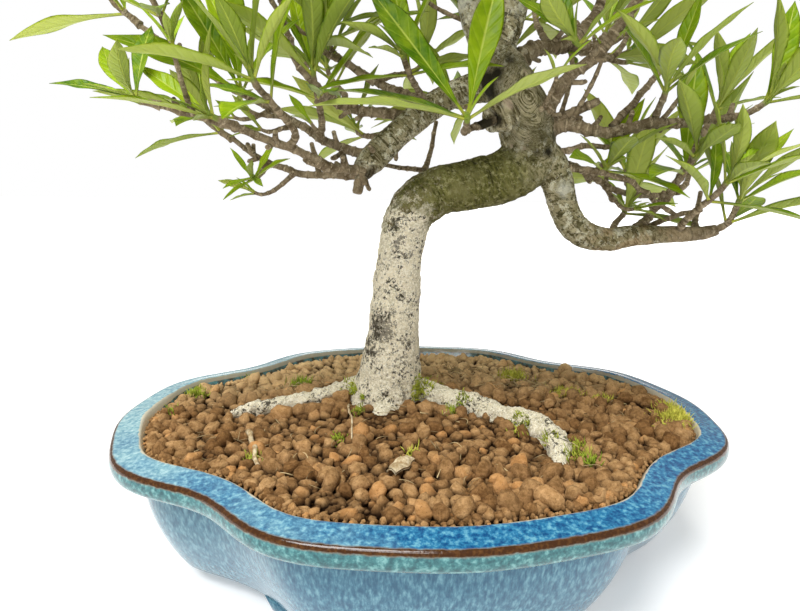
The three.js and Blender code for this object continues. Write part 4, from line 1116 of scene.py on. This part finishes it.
# Those in the bark: a spot on a root or where the roots part, its reach, the number and the
# freshness.
crown = bpy.data.objects["bare_trunk"].data
skin_points, skin_normals = np.empty((2, len(crown.vertices) * 3))
crown.vertices.foreach_get("co", skin_points)
crown.vertices.foreach_get("normal", skin_normals)
skin_points, skin_normals = skin_points.reshape(-1, 3) * 1000, skin_normals.reshape(-1, 3)
for spot, reach, count, colour in (((0, -1, 79), 6, 110, 0.55), ((-3, -3, 75), 5, 90, 0.4),
                                   ((44, -28, 68), 5, 70, 0.55), ((-36, 12, 74), 5, 40, 0.5),
                                   ((-32, 6, 73), 4, 60, 0.6), ((20, -8, 72), 4, 50, 0.7),
                                   ((53, -46, 66), 4, 30, 0.6), ((-27, -1, 74), 4, 50, 0.7)):
    close = np.flatnonzero(np.linalg.norm(skin_points - np.array(spot), axis=1) < reach)
    chosen = rng.choice(close, count)
    lean = skin_normals[chosen] + rng.normal(0, 0.45, (count, 3)) + (0, 0, 0.5)
    feet.append(skin_points[chosen])
    tips.append(skin_points[chosen] + lean * rng.uniform(0.7, 2.2, (count, 1)))
    fresh.append(np.clip(colour + rng.normal(0, 0.12, count), 0, 1))
foot, tip, fresh = np.concatenate(feet), np.concatenate(tips), np.concatenate(fresh)
moss = Finish("moss", Roughness=0.8, Specular_IOR_Level=0.1)
tuft = moss.noise(3, 3).ramp(0.35, 0.65)
dry = tuft.mix((0.42, 0.37, 0.05), (0.72, 0.68, 0.12))
lush = tuft.mix((0.11, 0.18, 0.012), (0.33, 0.46, 0.04))
moss.finish(moss.attribute("fresh").mix(dry, lush), moss.noise(0.7, 2), 0.0002, 0.5)
bend = rng.normal(0, 0.35, foot.shape)
points, faces = needles(foot, tip, bend, rng.uniform(0.22, 0.42, len(foot)))
new_piece("moss", points, faces, moss.material,
          {"fresh": np.repeat(fresh, len(points) // len(foot))})

# Dry rootlets and straw, blown or fallen across the grains: thin bowed stalks, a few everywhere
# and more in three drifts.
place = np.column_stack([rng.uniform(-128, 128, 380), rng.uniform(-104, 104, 380)])
drifts = ((78, 44), (20, 12), 200), ((20, 66), (26, 9), 130), ((-70, 40), (20, 10), 70)
place = np.concatenate([place, *(rng.normal(centre, spread, (count, 2))
                                 for centre, spread, count in drifts)])
place = place[room_inside(*place.T) > 30]
turn = rng.uniform(0, 2 * np.pi, len(place))
reach = rng.uniform(3, 10, (len(place), 1))
aim = np.column_stack([np.cos(turn), np.sin(turn)]) * reach
foot, tip = place - aim / 2, place + aim / 2
foot = np.column_stack([foot, soil_height(*foot.T) + rng.uniform(1.2, 2.6, len(foot))])
tip = np.column_stack([tip, soil_height(*tip.T) + rng.uniform(1.2, 2.8, len(foot))])
bend = rng.normal(0, 1.0, foot.shape) + (0, 0, 0.6)
straw = Finish("dry_straw", Roughness=0.8, Specular_IOR_Level=0.2)
tone = straw.noise(12, 2).ramp(0.4, 0.6).mix((0.11, 0.062, 0.022), (0.62, 0.48, 0.25))
straw.finish(tone, straw.noise(0.8, 3), 0.0003, 0.6)
points, faces = needles(foot, tip, bend, rng.uniform(0.13, 0.30, len(foot)), 6)
new_piece("litter", points, faces, straw.material)

# Two dead twigs that have dropped on the soil, a stout one and a thin curled one, both bare of
# bark and bleached: the same ringed tubes as the branches.
pale_wood = Finish("pale_dead_wood", Roughness=0.85, Specular_IOR_Level=0.15)
tone = pale_wood.noise(2.4, 4, 0.7).ramp(0.40, 0.62)
tone = tone.mix((0.3, 0.205, 0.1), (0.64, 0.54, 0.36))
pale_wood.finish(tone, pale_wood.noise(0.9, 4, 0.7), 0.0006)
fallen = []
for path, radius in ((((-84, -31, 69), (-83, -38, 70.5), (-80, -48, 69), (-76, -60, 66.5)), 1.25),
                     (((-38, -14, 74), (-38.5, -22, 77), (-37, -32, 75), (-38, -43, 69)), 0.55)):
    path = np.array(path, dtype=float)
    length = np.linalg.norm(path[3] - path[0])
    points, faces, values = ringed_tube(
        bowed(*path), length, lambda part: radius * (1 - 0.3 * part), rng, 10, 0.1, 1.1, 0.5)
    fallen.append((points, faces, {"scar": values["scar"]}))
points, faces, values = together(fallen)
new_piece("fallen_twigs", points, faces, pale_wood.material, values)

# A curled chip of dead bark on the soil: a grid bent round its own length by the sine and cosine
# of its breadth, narrower and ragged at its ends, with an underside CHIP_THICK below.
CHIP_ROWS, CHIP_COLUMNS, CHIP_THICK = 22, 12, 0.9
CHIP_HALF, CHIP_RADIUS, CHIP_RISE, CHIP_CURL = 7.5, 3.4, 2.6, 1.25
share, breadth = np.meshgrid(np.linspace(-1, 1, CHIP_ROWS), np.linspace(-1, 1, CHIP_COLUMNS),
                             indexing="ij")
ragged_edge = 1 - 0.35 * share ** 2 + 0.08 * np.sin(share * 9)
curl = breadth * CHIP_CURL
rise = CHIP_RISE * np.cos(curl) * ragged_edge + 0.5 * np.sin(share * 5 + breadth * 2)
chip = np.stack([share * CHIP_HALF, CHIP_RADIUS * np.sin(curl) * ragged_edge, rise], -1)
turned = np.array([[0.62, -0.78, 0], [0.78, 0.62, 0], [0, 0, 1]])
top = chip.reshape(-1, 3) @ turned.T + (-19, -69, 68.2)
grid = np.arange(len(top)).reshape(CHIP_ROWS, CHIP_COLUMNS)
rim = np.concatenate([grid[0, :-1], grid[:-1, -1], grid[-1, :0:-1], grid[:0:-1, 0]])
onward = np.roll(rim, -1)
sheet = np.stack([grid[:-1, :-1], grid[1:, :-1], grid[1:, 1:], grid[:-1, 1:]], -1).reshape(-1, 4)
edge = np.column_stack([onward, rim, rim + len(top), onward + len(top)])
new_piece("bark_chip", np.concatenate([top, top - (0, 0, CHIP_THICK)]),
          [sheet, sheet[:, ::-1] + len(top), edge], pale_wood.material)

# The leafy stems: ringed green-brown shoots with whorls of glossy pointed leaves, each blade
# folded along a pale midrib, quilted between its side veins and paler underneath.
# Each stem: the route it leaves, the share along it, its own tip and, where it stands out in the
# photograph, the tips of its leaves. The rest get leaves in whorls.
SPRAYS = [
    ("hollowStub", 1, (11, -35, 209),
     (-53, -55, 218), (-46, -14, 229), (-26, -16, 270), (27, -12, 277), (49, -55, 233)),
    ("upperLeft", 0.6, (-88, 18, 223),
     (-89, -8, 279), (-142, 2, 249), (-114, 20, 275), (-66, -14, 252)),
    ("lowerLeft", 1, (-127, -26, 214),
     (-148, 0, 242), (-128, -2, 250), (-161, -18, 224), (-124, -58, 232)),
    ("lowerLeft", 0.7, (-97, -24, 208),
     (-133, -48, 217), (-96, -42, 240), (-104, -60, 205), (-126, -14, 232)),
    ("underLeft", 0.7, (-84, 12, 182),
     (-68, -4, 193), (-97, 2, 174), (-84, -6, 192), (-75, 10, 199)),
    ("frontRight", 0.55, (61, -22, 243),
     (34, -50, 260), (70, -54, 264), (52, 4, 282), (88, -36, 262), (38, -12, 266)),
    ("upperLeft", 1, (-155, 40, 272)), ("upperLeft", 0.8, (-128, 14, 268)),
    ("upperLeft", 0.3, (-54, -2, 232)), ("innerLeft", 1, (-72, 44, 290)),
    ("innerLeft", 0.66, (-46, 14, 256)), ("innerLeft", 0.4, (-48, 62, 244)),
    ("underLeft", 1, (-112, 42, 214)), ("lowerLeft", 0.5, (-78, -34, 224)),
    ("leftLimb", 0.62, (-32, 62, 212)), ("leftLimb", 0.4, (-14, -6, 240)),
    ("level", 1, (152, -30, 222)), ("level", 0.62, (104, -26, 226)),
    ("thinArm", 0.34, (88, -6, 190)), ("thinArm", 1, (153, 30, 192)),
    ("thinArm", 0.66, (122, 44, 192)), ("cascade", 0.62, (109, 12, 170)),
    ("cascade", 1, (155, -14, 178)), ("cascade", 0.82, (134, -34, 186)),
    ("cascadeArm", 1, (152, 8, 224)), ("cascadeArm", 0.5, (124, -22, 198)),
    ("frontRight", 1, (98, -38, 294)), ("shoulder", 1, (102, 26, 300)),
    ("shoulder", 0.34, (62, 42, 276)), ("backRight", 1, (124, 87, 276)),
    ("backRight", 0.5, (122, 46, 250)), ("back", 1, (58, 77, 271)),
    ("back", 0.5, (26, 72, 226)), ("backLeft", 1, (-50, 80, 266)),
    ("backLeft", 0.55, (10, 84, 252)), ("leaderLeft", 1, (-4, 22, 346)),
    ("leaderLeft", 0.62, (-30, 34, 322)), ("leaderRight", 1, (44, -10, 350)),
    ("leaderRight", 0.75, (66, -30, 326)), ("crownLeft", 1, (-92, -14, 328)),
    ("crownLeft", 0.5, (-42, -34, 318)), ("crownLeft", 0.72, (-72, 44, 330)),
    ("crownBack", 1, (-14, 90, 334)), ("crownBack", 0.5, (32, 60, 330)),
    ("crownFront", 1, (26, -78, 308)), ("crownFront", 0.55, (66, -60, 296)),
    ("crownRight", 1, (116, 10, 338)), ("crownRight", 0.5, (86, 40, 344)),
    ("crownFrontLeft", 1, (-34, -74, 304)), ("crownFrontLeft", 0.5, (10, -48, 310)),
]
# A leaf's length in millimetres, how many times its width that is, its bend and fold, the
# lowest that it points and its side veins; each whorl's two ends, from the tip; and the gap
# between the bark and the foot of a stem.
LEAF_LENGTH, SLENDER, BEND, FOLD, DROOP, VEINS = 50.0, 4.3, 0.16, 0.28, -0.08, 9.0
WHORLS = ((0, 2.6), (2.6, 5.2), (13, 15.6))
STEM_GAP = 0.3


def draw(number):
    """Repeatable draw from 0 to 1: the fraction of a large multiple of a sine."""
    value = math.sin(number * 12.9898 + 4.1414) * 43758.5453
    return value - math.floor(value)


def stem_curve(source, share, tip):
    """Bowed curve that leaves the bark square to it and turns upwards to its tip, and the straight
    distance between its ends."""
    axis = route(source, share)[0][0]
    near, far = (route(source, min(max(share + step, 0), 1))[0][0] for step in (-1e-4, 1e-4))
    along, end = unit(far - near), np.array(tip, dtype=float)
    out, distance = along, STEM_GAP
    if share < 1:
        away = end - axis
        out = unit(away - along * (away @ along))
        distance += route(source, share)[1][0]
    start = axis + out * distance
    length = np.linalg.norm(end - start)
    climb = unit(unit(end - start) + 0.7 * UP)
    return bowed(start, start + out * 0.3 * length, end - climb * 0.35 * length, end), length


def rooted(place, length, depth):
    """The stem's curve with a straight foot that reaches a depth into the bark under it."""
    leave = unit(place(1e-3)[0] - place(0)[0])
    whole = length + depth

    def path(part):
        """The stem's curve from its foot in the bark."""
        travel = np.atleast_1d(part) * whole - depth
        return place((travel / length).clip(0, 1)) + np.minimum(travel, 0)[:, None] * leave

    return path, whole


def whorl_leaves(place, length, number, corners):
    """The leaves of a stem: of the eight tries for each flat, the one that the frame holds."""
    lowest = 3 if length > WHORLS[2][1] + 4 else 2
    distances = {length, *(value for pair in WHORLS[:lowest] for value in pair)}
    if length > 44:
        distances.add(length * 0.62)
    ordered = sorted(distances, reverse=True)
    share = np.maximum(0, 1 - np.array(ordered) / length)
    centre, along, across, front = swept_frames(place, share)
    found = []
    for whorl, (near, _) in enumerate(WHORLS[:lowest]):
        band = ordered.index(near) - 1
        middle = (centre[band] + centre[band + 1]) / 2
        for flat in range(whorl % 2, 6, 2):
            seed, size = number * 60 + whorl * 18 + flat * 3, whorl / 2
            for attempt in range(8):
                turn = ((flat + 0.5) * math.pi / 3 + 0.5 * (draw(seed) - 0.5)
                        + attempt * 0.09 * (1 if attempt % 2 else -1))
                spread = (0.42 + size * 0.5 + 0.3 * (draw(seed + 1) - 0.5) + 0.1 * (attempt % 4))
                ahead = (math.cos(spread) * along[band + 1]
                         + math.sin(spread) * math.cos(turn) * across[band + 1]
                         + math.sin(spread) * math.sin(turn) * front[band + 1])
                ahead[2] = max(ahead[2], DROOP)
                ahead = unit(ahead)
                reach = LEAF_LENGTH * (0.72 + 0.28 * size + 0.3 * draw(seed + 2))
                reach = reach * (1 - 0.06 * attempt)
                leaf = (middle, ahead, reach, along[band + 1])
                if np.linalg.norm(corners - rib_points(leaf, np.ones(1)), axis=1).min() < 0.05:
                    found.append(leaf)
                    break
    return found


def leaf_face(leaf):
    """The way that a blade's upper side looks: between the stem's direction and upwards."""
    _, ahead, _, along = leaf
    face = 0.7 * along + 0.7 * UP
    return unit(face - ahead * (face @ ahead))


def rib_points(leaf, share):
    """Points on the midrib: straight ahead, bent back by the square of the share."""
    start, ahead, length, _ = leaf
    share = share[:, None]
    return start + ahead * length * share - leaf_face(leaf) * BEND * length * share ** 2


def leaf_blade(leaf, rows, columns, rng, young=0.0, pale=0.0, tint=None, width=None):
    """Closed thin blade on a grid of share s along it and breadth b across it. The half width is
    length / 8.6 times sin(pi s^1.35)^1.1. A point lies half width times b to the side and is
    lifted by a fold of |b|^1.3, by swellings between side veins and by a wave at the edge; both
    are turned by a twist that grows with s. The underside lies a thickness below, thickest at
    the rib."""
    _, ahead, length, _ = leaf
    face = leaf_face(leaf)
    side = np.cross(ahead, face)
    share = np.linspace(0, 1, rows + 1)[:, None]
    breadth = np.linspace(-1, 1, columns + 1)[None]
    span = np.abs(breadth)
    outline = np.sin(np.pi * share ** 1.35).clip(0) ** 1.1 * length / (2 * SLENDER)
    half = np.maximum(outline * (width or rng.uniform(0.74, 1.02)), 0.75 * (1 - share) + 0.10)
    twist = rng.uniform(-0.5, 0.5) * share
    fold = FOLD * rng.uniform(0.7, 1.3)
    swell = np.abs(np.sin(np.pi * VEINS * (share - 0.15 * span))) ** 0.8
    swell = swell * (1 - breadth ** 2) * span ** 0.5 * 0.045 * half * (rows > 16)
    ripple = share * rng.uniform(1.6, 3.2) + rng.random() + 0.25 * (breadth > 0)
    wave = np.sin(2 * np.pi * ripple) * span ** 3 * 0.10 * half
    lift = fold * half * span ** 1.3 + swell + wave
    sway = rng.uniform(-0.035, 0.035) * length * np.sin(np.pi * share)
    middle = rib_points(leaf, share[:, 0])[:, None]
    sideways = half * breadth * np.cos(twist) - lift * np.sin(twist) + sway
    upwards = lift * np.cos(twist) + half * breadth * np.sin(twist)
    top = middle + sideways[..., None] * side + upwards[..., None] * face
    rib = np.exp(-(breadth / 0.13) ** 2) * (0.55 * (1 - share) + 0.15)
    deep = (0.34 * (1 - breadth ** 4) + rib) * (1 - 0.6 * share)
    under = (top - deep[..., None] * face)[:, 1:-1]
    count = (rows + 1) * (columns + 1)
    upper = np.arange(count).reshape(rows + 1, columns + 1)
    lower = upper.copy()
    lower[:, 1:-1] = count + np.arange((rows + 1) * (columns - 1)).reshape(rows + 1, columns - 1)
    quads = [np.stack([upper[:-1, :-1], upper[:-1, 1:], upper[1:, 1:], upper[1:, :-1]], -1),
             np.stack([lower[:-1, :-1], lower[1:, :-1], lower[1:, 1:], lower[:-1, 1:]], -1)]
    tips = [0, -1]
    ends = np.stack([upper[tips, :-1], lower[tips, :-1], lower[tips, 1:], upper[tips, 1:]], -1)
    ends[1] = ends[1][:, ::-1]
    caps = np.array([[upper[0, 0], lower[0, 1], upper[0, 1]],
                     [upper[-1, 0], upper[-1, 1], lower[-1, 1]],
                     [upper[0, -1], upper[0, -2], lower[0, -2]],
                     [upper[-1, -1], lower[-1, -2], upper[-1, -2]]])

    def both_faces(numbers):
        """A number for each point of the upper side and, without its edges, of the underside."""
        whole = np.broadcast_to(numbers, (rows + 1, columns + 1))
        return np.concatenate([whole.ravel(), whole[:, 1:-1].ravel()])

    points = np.concatenate([top.reshape(-1, 3), under.reshape(-1, 3)])
    tint = rng.beta(1.6, 1.6) if tint is None else tint
    values = {"share": both_faces(share), "breadth": both_faces(breadth),
              "under": (np.arange(len(points)) >= count).astype(float), "tint": both_faces(tint),
              "young": both_faces(young), "pale": both_faces(pale)}
    blocks = [block.reshape(-1, 4) for block in (*quads, ends[:, 1:-1])]
    return points, [np.concatenate(blocks), caps], values


green = Finish("leaf_green", Roughness=0.34, Specular_IOR_Level=0.13, Subsurface_Weight=0.10,
               Subsurface_Radius=(0.8, 1.0, 0.1), Subsurface_Scale=0.0012)
share, breadth, under, tint, young, pale = map(green.attribute, (
    "share", "breadth", "under", "tint", "young", "pale"))
span = abs(breadth)
cloud = green.noise(8, 3)
vein = green.reckon("PINGPONG", share * VEINS - span * 1.35, 0.5)
vein_line = vein.ramp(0.0, 0.09, 1.0, 0.0)
upper_green = tint.mix((0.038, 0.115, 0.001), (0.275, 0.395, 0.005))
upper_green = cloud.ramp(0.40, 0.66, 0.0, 0.45).mix(upper_green, (0.33, 0.43, 0.012))
upper_green = (young * 0.75).mix(upper_green, (0.36, 0.54, 0.03))
upper_green = (pale * 0.8).mix(upper_green, (0.43, 0.46, 0.15))
upper_green = (vein_line * 0.26).mix(upper_green, (0.34, 0.44, 0.05))
lower_green = tint.mix((0.19, 0.25, 0.034), (0.46, 0.52, 0.12))
lower_green = (vein_line * 0.22).mix(lower_green, (0.18, 0.225, 0.045))
leafy = under.mix(upper_green, lower_green)
leafy = (span.ramp(0.035, 0.10, 1.0, 0.0) * 0.62).mix(leafy, (0.48, 0.54, 0.09))
leafy = share.ramp(0.02, 0.12, 0.9, 0.0).mix(leafy, (0.56, 0.58, 0.08))
leafy = green.noise(1.1, 3, 0.7).ramp(0.64, 0.74, 0.0, 0.35).mix(leafy, (0.19, 0.17, 0.03))
quilt = vein.ramp(0.0, 0.25) * 0.6 + span.ramp(0.0, 0.10) * 0.5 + green.noise(0.9, 2) * 0.3
gloss = (under * 0.35 + cloud).ramp(0.2, 1.1, 0.24, 0.62)
green.finish(leafy, quilt, 0.0004, 0.8, gloss)


def young_leaves(hub, along, number, smallest, largest, rng):
    """Small bright leaves that stand up round the end of a shoot, each 2.4 radians further round
    and leaning out by a random spread."""
    side = unit(np.cross(along, (0.3, 0.9, 0.2)))
    other = np.cross(along, side)
    made = []
    for turn in rng.uniform(0, 6.28) + np.arange(number) * 2.4:
        spread = rng.uniform(0.25, 0.85)
        ahead = unit(math.cos(spread) * along
                     + math.sin(spread) * (math.cos(turn) * side + math.sin(turn) * other))
        ahead[2] = max(ahead[2], -0.1)
        baby = (hub - along * 0.4, unit(ahead), rng.uniform(smallest, largest), along)
        made.append(leaf_blade(baby, 12, 6, rng, rng.uniform(0.5, 1.0)))
    return made


# The tint, paleness and width of the foremost shoot's leaves, as the photograph shows them.
SHOWN = {0: ((0.5, 0.75, 0.8), (0.1, 0.1, 0.7), (0.08, 0.0, 0.74), (0.5, 0.0, 0.82),
             (0.7, 0.9, 0.85))}
# The rows and columns of a blade: of the stems that stand out, and of the rest.
CLOSE, DISTANT = (44, 14), (20, 8)
shoots = []
for number, (source, share, tip, *chosen) in enumerate(SPRAYS):
    name = f"spray_{number + 1:02d}"
    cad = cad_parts[name].data
    corners = np.empty(len(cad.vertices) * 3)
    cad.vertices.foreach_get("co", corners)
    corners = corners.reshape(-1, 3) * 1000
    rng = np.random.default_rng(700 + number)
    place, length = stem_curve(source, share, tip)
    if chosen:
        below = 1 - WHORLS[0][1] / length
        hub, heading = place(below)[0], swept_frames(place, np.array([0, below]))[1][1]
        leaves = [(hub, unit(np.array(end) - hub), np.linalg.norm(np.array(end) - hub), heading)
                  for end in chosen]
    else:
        leaves = whorl_leaves(place, length, number, corners)
    rows, columns = CLOSE if chosen else DISTANT
    looks = SHOWN.get(number, [(None, 0.0, None)] * len(leaves))
    blades = [leaf_blade(leaf, rows, columns, rng, 0.0, pale, tint, width)
              for leaf, (tint, pale, width) in zip(leaves, looks)]
    end, ahead = place(1)[0], unit(place(1)[0] - place(0.98)[0])
    blades += young_leaves(end, ahead, 3 if number else 2, 9, 22, rng)
    points, faces, values = together(blades)
    new_piece(f"leaves_{number + 1:02d}", points, faces, green.material, values, name)
    path, whole = rooted(place, length, max(1.5, 0.85 * route(source, share)[1][0]))
    shoot = ringed_tube(path, whole, lambda part: 1.75 - 0.5 * part, rng, 10, 0.35, 0.25, 0.35)
    shoot[2]["young"] = np.clip((shoot[2]["travel"] - whole + 7) / 4, 0, 1)
    shoots.append(shoot)

# The shoots under the leaves are all one piece with the branches' bark on it, green at their
# ends. Their feet reach into the bark, so that none stands off it.
points, faces, values = together(shoots)
shoot_piece = new_piece("shoots", points, faces, bark.material, values)
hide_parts(*(f"spray_{number + 1:02d}" for number in range(len(SPRAYS))))

# Young leaves at the ends of the branches' longer side twigs: small, bright and upright, two to
# four round each end.
rng = np.random.default_rng(77)
blades = []
for hub, along in sprigs:
    blades += young_leaves(hub, along, int(rng.integers(2, 5)), 9, 25, rng)
points, faces, values = together(blades)
new_piece("sprig_leaves", points, faces, green.material, values)
